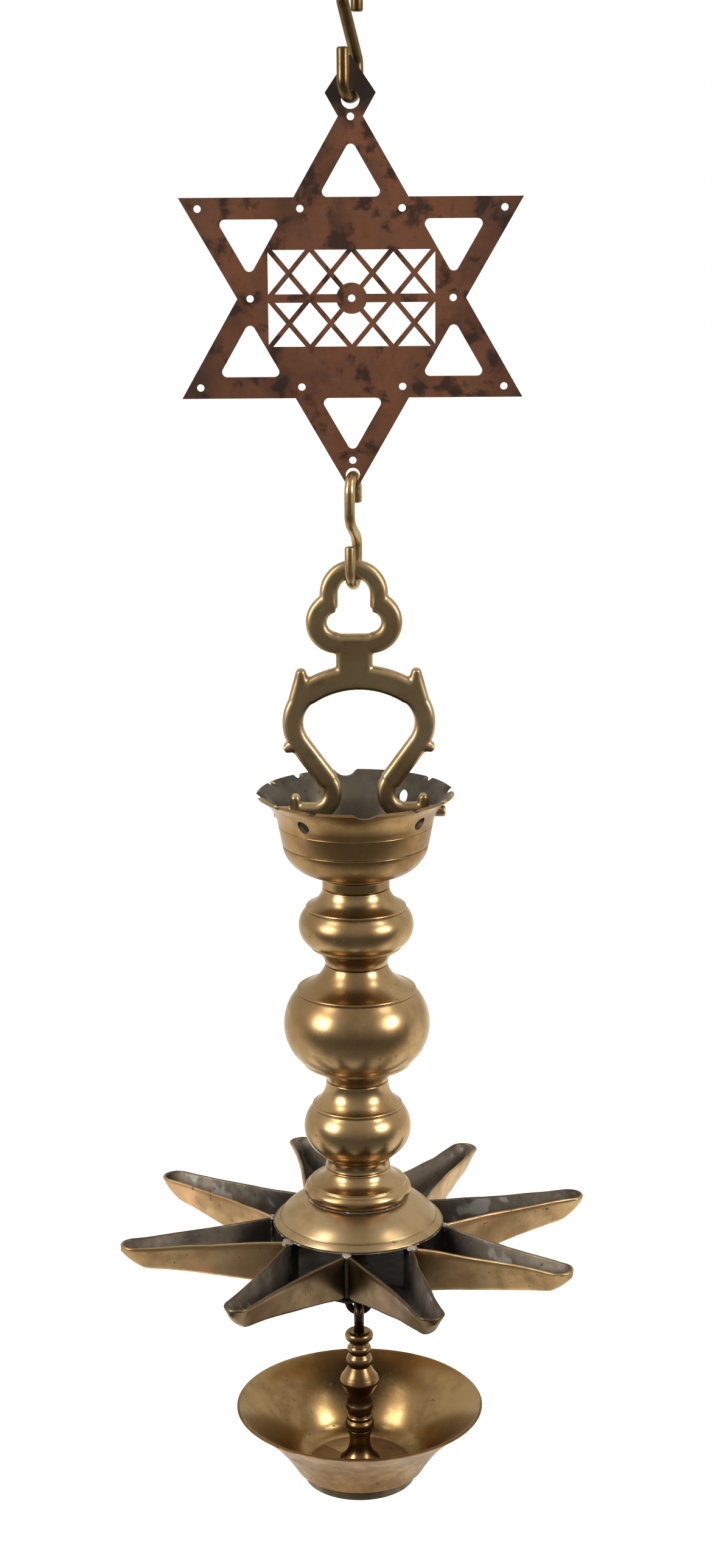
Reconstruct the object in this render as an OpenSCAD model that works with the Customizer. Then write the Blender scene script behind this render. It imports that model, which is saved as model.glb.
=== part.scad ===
// Hanging star oil lamp: two S-hooks, a pierced star plate, a trefoil bail, a crown bowl,
// a baluster shaft, a star of eight wick spouts and a drip bowl on a turned stem.
// Origin at the hanging point, inside the top of the top hook's upper loop.
// +Z is up, +X is to the right and +Y is away from the front. Millimetres.

/* [Top hook] */
// Wire diameter of the top hook
top_wire_d = 5.6; // [4.6:0.2:6.6]
// Radius of the hook's loops, at the middle of the wire
top_loop_r = 8; // [7:0.25:10]
// Length from the hanging point to the seat of the plate
top_hook_len = 46.4; // [42:0.5:60]
// Straight length of the lower loop's limbs
top_limb = 6; // [3:0.5:8]
// Length of the free end beside the lower loop
top_front_end = 14; // [6:0.5:16]
// Length of the free end beside the upper loop
top_rear_end = 6.5; // [2:0.5:9]
// Turn of the hook's plane from front-to-back
top_hook_turn = 24; // [0:1:24]

/* [Star plate] */
// Radius of the star's points
star_r = 91.2; // [84:0.4:100]
// Thickness of the sheet
plate_t = 1.5; // [1:0.1:2.5]
// Width of the frame round each point's cut-out
point_band = 9.8; // [8:0.2:12]
// Corner radius of the cut-outs
cutout_corner_r = 2.4; // [1:0.2:3.5]
// Width of the window
window_w = 77; // [66:1:82]
// Height of the window
window_h = 44; // [36:1:50]
// Height of the window's middle bar
bar_h = 3.8; // [2.5:0.1:6]
// Width of the window's lattice bars
lattice_w = 2.2; // [1.5:0.1:3]
// Radius of the disc in the middle of the window
disc_r = 7.1; // [5:0.1:9]
// Radius of the small round holes
small_hole_r = 1.7; // [1:0.1:2.4]
// Width of the hanging tab
tab_w = 23.2; // [20:0.2:28]
// Width of the neck below the tab
tab_neck_w = 11.4; // [9:0.2:13]
// Height from the star's centre to the tab's hole
tab_rise = 88.7; // [86:0.1:96]
// Height of the tab above its hole
tab_top = 20; // [14:0.5:26]
// Play of the top hook's wire in the tab's hole
tab_hole_play = 1.4; // [1.3:0.1:2]
// Drop from the star's centre to the lower hook's hole
low_hole_drop = 81.4; // [76:0.2:83]
// Play of the lower hook's wire in its hole
low_hole_play = 0.8; // [0.6:0.1:1.4]

/* [Lower hook] */
// Wire diameter of the lower hook
lower_wire_d = 5; // [4:0.2:5.8]
// Play of the bail's bar between the limbs of the hook
lower_loop_play = 1.5; // [1.3:0.1:3]
// Length between the hook's two seats
lower_hook_len = 46.2; // [44:0.5:60]
// Slant of the shank between the hook's two loops
lower_slant = 58; // [45:1:70]
// Length of the free end behind the plate
lower_rear_end = 6; // [2:0.5:12]
// Length of the free end in front of the bail
lower_front_end = 11.5; // [4:0.5:14]
// Turn of the hook's plane from front-to-back
lower_hook_turn = 13; // [0:1:14]

/* [Bail] */
// Thickness of the casting, front to back
bail_t = 7; // [6:0.25:8]
// Width of the trefoil's band
trefoil_band = 8; // [6.5:0.25:9]
// Radius of the trefoil's upper opening
trefoil_hole_r = 7.9; // [7:0.1:9.5]
// Radius of the trefoil's side lobes, at the middle of the band
lobe_r = 9.9; // [9:0.1:12]
// Sideways place of the side lobes
lobe_x = 8; // [6:0.25:10]
// Sideways offset of the bail's arch and legs from its trefoil
bail_shift = 2; // [-1:0.25:2.5]
// Width of the bar round the two lower lobes of the trefoil
lobe_band = 9.4; // [8:0.2:10]
// Drop from the upper opening's centre to the side lobes
lobe_drop = 12.9; // [11:0.2:15]
// Length of the neck between trefoil and arch
neck_len = 17.1; // [14:0.1:24]
// Width of the neck
neck_w = 16.8; // [12:0.25:20]
// Width of the arch's and the legs' band
leg_band = 9.4; // [7.5:0.2:10.4]
// Radius of the arch, at the middle of the band
arch_r = 44; // [40:0.5:52]
// Radius of the arch's shoulders, at the middle of the band
shoulder_r = 17.6; // [16:0.2:19]
// Sideways place of the shoulders' centres
shoulder_x = 14; // [12:0.25:16]
// Radius of the curled feet, at the middle of the band
curl_r = 9.5; // [8:0.25:11]
// Width of the feet's band
curl_band = 8.2; // [7:0.2:9]
// Sideways place of the feet's centres
curl_x = 22.4; // [21.4:0.2:25]
// Drop from the shoulders' centres to the feet's centres
curl_drop = 34.4; // [33:0.5:42]
// Diameter of the pivot lugs
lug_d = 5.6; // [4.5:0.1:6.5]
// Length of the lugs outside the crown bowl
lug_stub = 3.6; // [2:0.2:6]

/* [Crown bowl] */
// Radius of the rim
crown_r = 47.8; // [46:0.2:54]
// Radius of the wall below the flare
crown_wall_r = 37.9; // [37:0.2:41]
// Height of the bowl from its underside to the rim
crown_h = 40.6; // [38:0.2:52]
// Height of the flare
flare_h = 13.3; // [12:0.2:16]
// Height of the rim above the pivots
rim_rise = 10.1; // [8:0.2:11]
// Thickness of the bowl's wall
crown_wall = 2.6; // [1.8:0.1:3.2]
// Radius of the four free holes
free_hole_r = 3.2; // [2:0.1:4]
// Radius of the large notches in the rim
notch_r = 7.4; // [5:0.1:9]
// Depth of the large notches
notch_depth = 3; // [1.5:0.1:4]
// Radius of the small notches in the rim
nick_r = 2.6; // [1.5:0.1:4]

/* [Shaft] */
// Thickness of the hollow castings
shaft_wall = 3; // [2.4:0.1:4]
// Diameter of the tie rod
rod_d = 8; // [6:0.2:10]
// Radius of the neck under the crown bowl
neck_1_r = 16.4; // [15.4:0.1:18]
// Radius of the neck under the upper knop
neck_2_r = 15.3; // [15:0.1:17]
// Radius of the neck under the middle knop
neck_3_r = 15.4; // [15:0.1:17]
// Radius of the neck under the lower knop
neck_4_r = 16.1; // [15.4:0.1:18]
// Length of the neck under the crown bowl
crown_neck = 7; // [5:0.2:12]
// Radius of the upper knop
upper_r = 28.1; // [27.6:0.1:32]
// Height of the upper knop
upper_h = 39; // [38.5:0.2:46]
// Radius of the middle knop
middle_r = 35.9; // [35.2:0.1:40]
// Height of the middle knop
middle_h = 59.5; // [58:0.5:70]
// Radius of the lower knop
lower_r = 26.4; // [26:0.1:29]
// Height of the lower knop
lower_h = 45.5; // [45:0.5:54]
// Radius of the base ring
base_r = 26.4; // [26:0.2:29]
// Height of the base ring
base_h = 15.8; // [15:0.2:24]

/* [Star] */
// Radius to the tips of the spouts
tip_r = 120; // [108:1:135]
// Radius to the notches between the spouts
seam_r = 44; // [43.6:0.2:47]
// Depth of the spouts at the notches
root_depth = 23; // [19:0.5:28]
// Depth of the spouts behind the tip
tip_depth = 12.5; // [9:0.5:15]
// Width of the spouts at the tip
tip_w = 14.4; // [12:0.2:16]
// Width of the keel behind the tip
keel_w = 4.6; // [4:0.2:7]
// Thickness of the spouts' sheet
sheet_t = 1.6; // [1:0.1:2]
// Turn of the star about the shaft
star_turn = 14.8; // [0:0.2:44]
// Radius of the star's cover
cover_r = 42.2; // [41:0.2:43]
// Height of the star's cover
cover_h = 14; // [12:0.2:18]
// Thickness of the star's floor
floor_t = 1.6; // [1:0.1:3]

/* [Drip bowl] */
// Wire diameter of the bottom eye
eye_wire_d = 3.7; // [3:0.1:4.4]
// Play of the drip hook in the bottom eye
eye_play = 0.9; // [0.7:0.1:1.6]
// Length of the bottom eye's shank
eye_shank = 12; // [9:0.5:16]
// Wire diameter of the drip hook
drip_wire_d = 5.2; // [4.2:0.1:5.8]
// Play of the bottom eye in the drip hook
drip_hook_play = 0.75; // [0.6:0.05:1.2]
// Height of the drip hook's loop above the stem
drip_hook_rise = 9.6; // [9.2:0.2:13]
// Length of the stem
stem_len = 72.8; // [68:0.4:90]
// Radius of the stem's knop
stem_knop_r = 9.9; // [8.6:0.1:12]
// Radius of the stem's foot
stem_foot_r = 10.4; // [9:0.1:13]
// Radius of the drip bowl's rim
drip_r = 62.6; // [57:0.2:70]
// Depth of the drip bowl, rim to floor
drip_depth = 33.4; // [27:0.2:38]
// Thickness of the drip bowl
drip_wall = 2; // [1.5:0.1:3]
// Radius of the drip bowl's foot ring
foot_r = 28.7; // [26:0.1:31]
// Height of the foot ring below the floor's underside
foot_h = 5; // [4.6:0.1:7]

/* [Fits] */
// Gap between pieces that hang on one another
link_gap = 0.2; // [0.1:0.05:0.3]
// Gap between the top hook and the plate's hole, which hangs aslant on it
tab_gap = 0.5; // [0.5:0.05:0.8]
// Gap between pieces that plug together
fit_gap = 0.1; // [0.05:0.05:0.2]
// Radial gap of the pivot lugs
pivot_gap = 0.08; // [0.03:0.01:0.1]

/* [Hidden] */
$fn = 64;
SPOUTS = [1, 2, 3, 4, 5, 6, 7, 8];

brass = "#a5823c";
aged_brass = "#8a6a34";
wire_brass = "#a88638";
copper = "#5e3527";
steel = "#6f6a60";

// Heights of the hanging pieces, from the hanging point down
z_top_loop = -(top_loop_r - top_wire_d / 2);
z_top_seat = -top_hook_len;
z_top_low = z_top_seat + top_loop_r - top_wire_d / 2;
tab_hole_r = top_wire_d / 2 + tab_hole_play;
z_tab_hole = z_top_seat + tab_gap - tab_hole_r;
z_star = z_tab_hole - tab_rise;
low_hole_r = lower_wire_d / 2 + low_hole_play;
lower_loop_r = bail_t / 2 + lower_loop_play + lower_wire_d / 2;
z_low_upper = z_star - low_hole_drop - low_hole_r + link_gap + lower_wire_d / 2 - lower_loop_r;
z_low_seat = z_star - low_hole_drop - low_hole_r + link_gap - lower_hook_len;
z_low_lower = z_low_seat + lower_loop_r - lower_wire_d / 2;
lower_limb = (z_low_upper - z_low_lower - 2 * lower_loop_r / sin(lower_slant)) / 2;

// Heights and places of the bail
trefoil_r = trefoil_hole_r + trefoil_band / 2;
z_trefoil = z_low_seat + link_gap - trefoil_hole_r;
z_lobe = z_trefoil - lobe_drop;
z_trefoil_foot = z_lobe - lobe_r;
z_arch = z_trefoil_foot - neck_len;
z_shoulder = z_arch - arch_r + sqrt((arch_r - shoulder_r) ^ 2 - shoulder_x ^ 2);
z_curl = z_shoulder - curl_drop;
z_pivot = z_curl - curl_r;
lug_r = lug_d / 2;

// Straight part of a leg: it leaves the shoulder and meets the foot's curl as a common tangent
leg_span = norm([curl_x - shoulder_x, curl_drop]);
leg_lean = asin((shoulder_r + curl_r) / leg_span) - atan((curl_x - shoulder_x) / curl_drop);

// Heights of the crown bowl, the shaft and the star
z_rim = z_pivot + rim_rise;
z_crown_foot = z_rim - crown_h;
floor_under = 0.8;
crown_floor_t = 4;
z_crown_floor = z_crown_foot - floor_under + crown_floor_t;
z_neck_1 = z_crown_foot - crown_neck;
z_neck_2 = z_neck_1 - upper_h;
z_neck_3 = z_neck_2 - middle_h;
z_neck_4 = z_neck_3 - lower_h;
z_base = z_neck_4 - base_h;
z_star_rim = z_base - cover_h;
z_star_floor = z_star_rim - root_depth;
spigot_h = 4;
rod_r = rod_d / 2;
rod_hole_r = rod_r + 0.3;
washer_t = 1.6;
washer_r = rod_d * 1.35;
nut_r = rod_d * 1.05;
nut_h = rod_d * 0.8;
rod_above_nut = 2;

// Heights of the drip bowl's pieces
half_spout = 22.5;
eye_boss_r = rod_r + 3;
eye_boss_h = 8;
z_eye_boss = z_star_floor - floor_t;
eye_r = drip_wire_d / 2 + eye_play + eye_wire_d / 2;
z_eye = z_eye_boss - eye_shank - eye_r - eye_wire_d / 2;
z_eye_wire = z_eye - eye_r;
drip_loop_r = eye_wire_d / 2 + drip_hook_play + drip_wire_d / 2;
z_drip_loop = z_eye_wire + eye_wire_d / 2 + link_gap - (drip_loop_r - drip_wire_d / 2);
z_stem = z_drip_loop - drip_hook_rise;
z_drip_floor = z_stem - stem_len;
z_drip_rim = z_drip_floor + drip_depth;
z_drip_under = z_drip_floor - drip_wall;
z_foot = z_drip_under - foot_h;
stem_spigot_r = 4;
stem_nut_h = 3;
seat_gap = 0.02;

// Points of an arc from p to q that turns left by the given angle, or right where it is negative
function turned(v, a) = [v[0] * cos(a) - v[1] * sin(a), v[0] * sin(a) + v[1] * cos(a)];
function bow(p, q, turn, n = 10) = [
    for (i = [0:n])
        p + turned(q - p, turn * (i / n - 1) / 2) * sin(turn * i / n / 2) / sin(turn / 2)];
// A round bead from p down to q that stands out by the given height
function bead(p, q, out, n = 8) = bow(p, q, -4 * atan(2 * out / norm(q - p)), n);
function reversed(list) = [for (i = [len(list) - 1:-1:0]) list[i]];
function mix(a, b, t) = a + (b - a) * t;
// Radius of the bore inside a neck, and of the spigot that plugs into it
function bore(neck) = neck - shaft_wall;
function spigot(neck) = bore(neck) - fit_gap;

// One straight stretch of round wire between two points in the XZ plane
module wire_rod(p, q, d) {
    v = q - p;
    translate([p[0], 0, p[1]])
        rotate([0, atan2(v[0], v[1]), 0])
            cylinder(d = d, h = norm(v));
}

// Path of an S-hook in the XZ plane: loops of radius r about the two heights, joined by a slanting shank.
// The upper loop's free end is at +X and the lower loop's free end is at -X.
// Each station is [x, z, direction of its side, share of the wire's radius].
loop_steps = 14;
bend_steps = 4;
function hook_path(d, r, z_upper, z_lower, limb_upper, limb_lower, end_upper, end_lower) =
    let (bend_upper = z_upper - limb_upper)
    let (bend_lower = z_lower + limb_lower)
    let (tilt = asin(2 * r / (bend_upper - bend_lower)))
    concat(
        [[r, z_upper - end_upper, 180, 0.7], [r, z_upper - end_upper + d * 0.15, 180, 1]],
        [for (i = [0:loop_steps]) let (a = 180 * i / loop_steps)
            [r * cos(a), z_upper + r * sin(a), a + 180, 1]],
        [for (i = [limb_upper > 0 ? 0 : 1:bend_steps]) let (a = 180 + tilt * i / bend_steps)
            [r * cos(a), bend_upper + r * sin(a), a + 180, 1]],
        [for (i = [0:bend_steps]) let (a = tilt * (1 - i / bend_steps))
            [r * cos(a), bend_lower + r * sin(a), a, 1]],
        [for (i = [0:loop_steps]) let (a = -180 * i / loop_steps)
            [r * cos(a), z_lower + r * sin(a), a, 1]],
        [[-r, z_lower + end_lower - d * 0.15, -180, 1], [-r, z_lower + end_lower, -180, 0.7]]);

// Round wire swept along a path, with eased ends
module swept_wire(path, d, sides = 20) {
    rings = len(path);
    points = [
        for (p = path, j = [0:sides - 1])
            let (a = 360 * j / sides)
            let (w = p[3] * d / 2)
            [p[0] + w * cos(a) * cos(p[2]), w * sin(a), p[1] + w * cos(a) * sin(p[2])]];
    function at(i, j) = i * sides + j % sides;
    walls = [
        for (i = [0:rings - 2], j = [0:sides - 1])
            each [[at(i, j), at(i, j + 1), at(i + 1, j + 1)], [at(i, j), at(i + 1, j + 1), at(i + 1, j)]]];
    ends = [[for (j = [sides - 1:-1:0]) at(0, j)], [for (j = [0:sides - 1]) at(rings - 1, j)]];
    polyhedron(points, concat(walls, ends));
}

module top_hook() {
    color(wire_brass)
        rotate([0, 0, 90 - top_hook_turn])
            swept_wire(hook_path(top_wire_d, top_loop_r, z_top_loop, z_top_low, 0, top_limb,
                                 top_rear_end, top_front_end), top_wire_d);
}

module lower_hook() {
    color(wire_brass)
        rotate([0, 0, 90 - lower_hook_turn])
            swept_wire(hook_path(lower_wire_d, lower_loop_r, z_low_upper, z_low_lower, lower_limb, lower_limb,
                                 lower_rear_end, lower_front_end), lower_wire_d);
}

// Equilateral triangle with round corners, standing on its base's middle
module rounded_triangle(side, r) {
    inner = side - 2 * r * sqrt(3);
    rise = inner * sqrt(3) / 2;
    corners = [[-inner / 2, r], [inner / 2, r], [0, r + rise]];
    polygon([
        for (k = [0:2])
            for (a = [-60:15:60])
                corners[k] + r * [cos(-150 + 120 * k + a), sin(-150 + 120 * k + a)]]);
}

// Outline of the six-pointed star with its kite-shaped tab
module star_outline() {
    for (a = [90, 270])
        rotate(a) circle(star_r, $fn = 3);
    neck_z = star_r - tab_neck_w / 2 * sqrt(3);
    polygon([
        [-tab_neck_w / 2, neck_z], [tab_neck_w / 2, neck_z],
        [tab_w / 2, tab_rise + tab_top * 0.15], [0, tab_rise + tab_top],
        [-tab_w / 2, tab_rise + tab_top * 0.15]]);
}

// Trellis of crossing bars that fills the window, with a middle bar and a disc
module window_lattice() {
    cells = 4;
    cell_w = window_w / cells;
    // the bars cross a little outside the window, so that both run into its edge
    cell_h = window_h / 2 + lattice_w / 3;
    slant = atan(cell_h / cell_w);
    bar_len = norm([cell_w, cell_h]) + 2 * lattice_w;
    for (k = [0:cells - 1], v = [-1, 1], s = [-1, 1])
        translate([(k + 0.5) * cell_w - window_w / 2, v * cell_h / 2])
            rotate(s * slant)
                square([bar_len, lattice_w], center = true);
    square([window_w + 2, bar_h], center = true);
    circle(disc_r);
}

// Places of the thirteen small holes, from the star's centre
point_hole_r = star_r - 10;
inner_hole_r = star_r / sqrt(3) - 5.9;
small_holes = concat(
    [[0, 0], [0, -low_hole_drop + low_hole_r + 3.5]],
    [for (a = [-30, 30, 90, 150, 210]) point_hole_r * [cos(a), sin(a)]],
    [for (a = [0:60:300]) inner_hole_r * [cos(a), sin(a)]]);

module star_plate() {
    hexagon_side = star_r / sqrt(3);
    cutout_side = hexagon_side - 2 * point_band / sin(60);
    color(copper)
        translate([0, plate_t / 2, z_star])
            rotate([90, 0, 0])
                linear_extrude(plate_t)
                    difference() {
                        star_outline();
                        difference() {
                            square([window_w, window_h], center = true);
                            window_lattice();
                        }
                        for (a = [0:60:300])
                            rotate(a) translate([0, star_r / 2])
                                rounded_triangle(cutout_side, cutout_corner_r);
                        for (p = small_holes)
                            translate(p) circle(small_hole_r);
                        translate([0, tab_rise]) circle(tab_hole_r);
                        translate([0, -low_hole_drop]) circle(low_hole_r);
                    }
}

// Outline of one stretch of the bail along an arc, seen from the front
module band_arc(centre, r, band, from, to) {
    steps = ceil((to - from) / 10);
    polygon([
        for (side = [0, 1], i = [0:steps])
            let (a = side == 0 ? mix(from, to, i / steps) : mix(to, from, i / steps))
            let (radius = r + band * (0.5 - side))
            centre + radius * [cos(a), sin(a)]]);
}

// Outline of one straight stretch of the bail between two points
module band_straight(p, q, band) {
    side = turned((q - p) / norm(q - p), 90) * band / 2;
    polygon([p - side, q - side, q + side, p + side]);
}

// Outline of a spur that narrows from one point to the other and has a round tip
module spur(p, q, root_w, tip_w) {
    side = turned((q - p) / norm(q - p), 90) / 2;
    polygon([p - side * root_w, q - side * tip_w, q + side * tip_w, p + side * root_w]);
    translate(q) circle(tip_w / 2, $fn = 10);
}

// Right half of the bail below the neck: arch, shoulder, leg and curled foot run on from each other
arch_end = acos(shoulder_x / (arch_r - shoulder_r));
arch_band = leg_band + 1.8;
foot_end = crown_wall_r - crown_wall - 2.6;
module bail_side() {
    shoulder = [shoulder_x, z_shoulder];
    curl = [curl_x, z_curl];
    side = [cos(leg_lean), -sin(leg_lean)];
    band_arc([0, z_arch - arch_r], arch_r + 0.4, arch_band, arch_end - 2, 93);
    band_arc(shoulder, shoulder_r, leg_band, -leg_lean - 2, arch_end + 2);
    band_straight(shoulder + shoulder_r * side, curl - curl_r * side, leg_band);
    band_arc(curl, curl_r, curl_band, 180 - leg_lean - 2, 272);
    band_straight([curl_x - 1, z_pivot], [foot_end, z_pivot], curl_band);
    horn_root = shoulder + shoulder_r * [cos(42), sin(42)];
    spur(horn_root, horn_root + [0.4, 12], 12.4, 4.8);
    spur_root = shoulder + (shoulder_r + leg_band * 0.2) * [cos(33), -sin(33)];
    spur(spur_root, spur_root + [3.8, -1.4], 7.4, 4.2);
    curl_tip = [foot_end - 2.4, z_pivot];
    spur(curl_tip, curl_tip + [0.4, curl_band / 2 + 2.2], 4.8, 4.4);
}

fillet_r = 1.5;
module bail_outline() {
    z_cusp = z_lobe + lobe_r * 0.72;
    offset(r = -fillet_r, $fn = 16) offset(delta = fillet_r) {
        band_arc([0, z_trefoil], trefoil_r, trefoil_band, -2, 182);
        band_straight([-lobe_x, z_trefoil_foot], [lobe_x, z_trefoil_foot], trefoil_band);
        band_straight([0, z_trefoil_foot], [0, z_arch], neck_w);
        for (m = [0, 1]) mirror([m, 0]) {
            band_straight([trefoil_r, z_trefoil], [trefoil_r, z_cusp], trefoil_band);
            band_arc([lobe_x, z_lobe], lobe_r, lobe_band, -92, 82);
        }
        translate([bail_shift, 0])
            for (m = [0, 1]) mirror([m, 0]) bail_side();
    }
}

// The bail is one casting with eased edges, and a lug at each foot
edge_r = 2.1;
module edge_shape() {
    for (m = [0, 1]) mirror([0, 0, m]) cylinder(r1 = edge_r, r2 = 0, h = edge_r, $fn = 8);
}

module bail() {
    color(brass) {
        rotate([90, 0, 0])
            minkowski() {
                linear_extrude(bail_t - 2 * edge_r, center = true)
                    offset(delta = -edge_r) bail_outline();
                edge_shape();
            }
        for (s = [-1, 1])
            wire_rod([s * (foot_end - 3) + bail_shift, z_pivot],
                     [s * (crown_wall_r + lug_stub) + bail_shift, z_pivot], lug_d);
    }
}

// Profile of the crown bowl: outside from the rim down, then inside up again
groove = 0.5;
crown_outside = concat(
    bow([crown_r, z_rim - 1], [crown_wall_r, z_rim - flare_h], 46),
    [[crown_wall_r - 2.2, z_crown_foot + 15.4], [crown_wall_r - 2.2 - groove, z_crown_foot + 15],
     [crown_wall_r - 2.5, z_crown_foot + 14.6]],
    bow([crown_wall_r - 2.7, z_crown_foot + 13], [neck_1_r + 9, z_crown_foot + 1.6], -50),
    [[neck_1_r + 1.4, z_crown_foot], [neck_1_r + 1.2, z_crown_foot - 1.4], [neck_1_r, z_crown_foot - 2.2],
     [neck_1_r, z_neck_1]]);
crown_inside = concat(
    [[bore(neck_1_r), z_neck_1], [bore(neck_1_r), z_crown_foot - floor_under],
     [rod_hole_r, z_crown_foot - floor_under], [rod_hole_r, z_crown_floor],
     [neck_1_r + 6, z_crown_floor]],
    bow([neck_1_r + 8, z_crown_floor + 0.4], [crown_wall_r - crown_wall - 2.4, z_crown_foot + 14.5], 50),
    reversed(bow([crown_r - 1.5, z_rim], [crown_wall_r - crown_wall, z_rim - flare_h], 46)));

// Angles of the free holes and the notches round the rim
hole_turn = 6;
quarters = [0, 90, 180, 270];
nick_spread = 13;

module crown_bowl() {
    color(brass)
        difference() {
            rotate_extrude() polygon(concat(crown_outside, crown_inside));
            for (a = [0, 180])
                rotate([0, 0, a]) translate([0, 0, z_pivot])
                    rotate([0, 90, 0]) cylinder(r = lug_r + pivot_gap, h = crown_r);
            for (a = quarters)
                rotate([0, 0, a + 45 + hole_turn]) translate([0, 0, z_pivot])
                    rotate([0, 90, 0]) cylinder(r = free_hole_r, h = crown_r);
            for (a = quarters)
                rotate([0, 0, a + hole_turn]) translate([crown_wall_r, 0, z_rim + notch_r - notch_depth])
                    rotate([0, 90, 0]) cylinder(r = notch_r, h = crown_r - crown_wall_r + 2);
            for (a = quarters, s = [-1, 1])
                rotate([0, 0, a + 45 + hole_turn + s * nick_spread])
                    translate([crown_wall_r, 0, z_rim + nick_r * 0.2])
                        rotate([0, 90, 0]) cylinder(r = nick_r, h = crown_r - crown_wall_r + 2);
        }
}

// Profile of a hollow knop between two necks, with a stepped shoulder above the bulge and a lip below.
// The bulge has radius r at height z_mid and is an arc of radius round.
function knop_profile(z_top, z_bottom, neck_top, neck_bottom, z_mid, r, round, shoulder, lip) =
    let (x = r - round)
    let (rise = acos((shoulder + 0.5 - x) / round))
    let (fall = acos((lip - x) / round))
    let (z_shoulder_edge = z_mid + round * sin(rise) + 1.8)
    let (z_lip = z_mid - round * sin(fall))
    let (inner = round - shaft_wall)
    let (inner_rise = acos((bore(neck_top) - 2 - x) / inner))
    let (inner_fall = acos((bore(neck_bottom) - x) / inner))
    concat(
        [[spigot(neck_top), z_top + spigot_h], [spigot(neck_top), z_top]],
        bow([neck_top, z_top], [shoulder - 0.6, z_shoulder_edge], 58),
        [[shoulder + 0.1, z_shoulder_edge - 0.6], [shoulder + 0.1, z_shoulder_edge - 1.3]],
        [for (i = [0:20]) let (a = mix(rise, -fall, i / 20)) [x + round * cos(a), z_mid + round * sin(a)]],
        [[lip - 0.1, z_lip - 1], [lip - 1, z_lip - 1.6]],
        bow([lip - 1.6, z_lip - 1.8], [neck_bottom, z_bottom], 58),
        [[bore(neck_bottom), z_bottom]],
        [for (i = [0:12]) let (a = mix(-inner_fall, inner_rise, i / 12)) [x + inner * cos(a), z_mid + inner * sin(a)]],
        [[bore(neck_top) - 2, z_top + spigot_h]]);

module upper_knop() {
    color(brass) rotate_extrude()
        polygon(knop_profile(z_neck_1, z_neck_2, neck_1_r, neck_2_r, z_neck_1 - upper_h * 0.49,
                             upper_r, 11.6, upper_r - 4, upper_r - 5.6));
}

module middle_knop() {
    color(brass) rotate_extrude()
        polygon(knop_profile(z_neck_2, z_neck_3, neck_2_r, neck_3_r, z_neck_2 - middle_h * 0.51,
                             middle_r, 24.4, middle_r - 7, middle_r - 9.2));
}

module lower_knop() {
    color(brass) rotate_extrude()
        polygon(knop_profile(z_neck_3, z_neck_4, neck_3_r, neck_4_r, z_neck_3 - lower_h * 0.535,
                             lower_r, 15.4, lower_r - 4.6, lower_r - 8.2));
}

// Profile of the base ring: neck, spreading cove, step and round edge
base_seat_r = base_r - 2;
module base_ring() {
    z_edge = z_base + 4;
    color(brass) rotate_extrude()
        polygon(concat(
            [[spigot(neck_4_r), z_neck_4 + spigot_h], [spigot(neck_4_r), z_neck_4]],
            bow([neck_4_r, z_neck_4 - 1], [base_r - 3.6, z_edge + 4.8], 62),
            [[base_r - 2.6, z_edge + 4.5], [base_r - 2.5, z_edge + 3.8]],
            bow([base_r - 1.9, z_edge + 3.2], [base_r - 1.2, z_edge - 2.8], -110),
            [[base_seat_r, z_edge - 3.4], [base_seat_r, z_base], [bore(neck_4_r), z_base],
             [bore(neck_4_r), z_neck_4 - 3], [bore(neck_4_r) - 2, z_neck_4 - 5],
             [bore(neck_4_r) - 2, z_neck_4 + spigot_h]]));
}

// Dome over the middle of the star, with a fine line near its edge
cover_t = 2.2;
cover_edge_h = 1.2;
module star_cover() {
    line_p = [cover_r - 3.2, z_star_rim + cover_edge_h + 3];
    color(aged_brass) rotate_extrude()
        polygon(concat(
            [[rod_hole_r, z_base + spigot_h], [spigot(neck_4_r), z_base + spigot_h],
             [spigot(neck_4_r), z_base]],
            bow([base_seat_r + 0.4, z_base], line_p, -26),
            [line_p + [0.1, -0.5], line_p + [0.6, -0.6], [cover_r, z_star_rim + cover_edge_h],
             [cover_r, z_star_rim], [cover_r - cover_t, z_star_rim]],
            bow([cover_r - cover_t - 0.4, z_star_rim + 0.8], [base_seat_r, z_base - cover_t], 28),
            [[rod_hole_r, z_base - cover_t]]));
}

// A spout is a trough of sheet, lofted along its length from the flanges in the middle of the star,
// out past the notch and along the waisted walls to a rounded, raked tip.
flange_len = 5;
x_flange = (seam_r - flange_len) * cos(half_spout);
x_notch = seam_r * cos(half_spout);
x_nose = tip_r - tip_w * 0.52;
x_prow = tip_r - tip_w * 0.85;
seam_gap = 0.05;
nose_steps = 5;
wall_steps = 5;
nose_end = 76;
spout_x = concat(
    [x_flange],
    [for (i = [0:wall_steps]) mix(x_notch, x_nose, i / wall_steps)],
    [for (i = [1:nose_steps]) x_nose + (tip_r - x_nose) * sin(nose_end * i / nose_steps)]);

// Half widths at the rim and at the keel, and the depth, at a distance x from the middle of the star
function nose(x) = x <= x_nose ? 1 : sqrt(1 - ((x - x_nose) / (tip_r - x_nose)) ^ 2);
function along(x) = max(0, min(1, (x - x_notch) / (x_nose - x_notch)));
function root_half(x) = min(x, x_notch) * tan(half_spout) - seam_gap;
function narrowing(x) = 1 - (1 - along(x)) ^ 1.5;
function rim_half(x) = mix(root_half(x), tip_w / 2, narrowing(x)) * nose(x);
function keel_half(x) = mix(root_half(x), keel_w / 2, narrowing(x)) * nose(x);
function prow(x) = x <= x_prow ? 1 : 1 - 0.75 * ((x - x_prow) / (tip_r - x_prow)) ^ 1.6;
function spout_depth(x) = mix(root_depth, tip_depth, along(x)) * prow(x);

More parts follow.
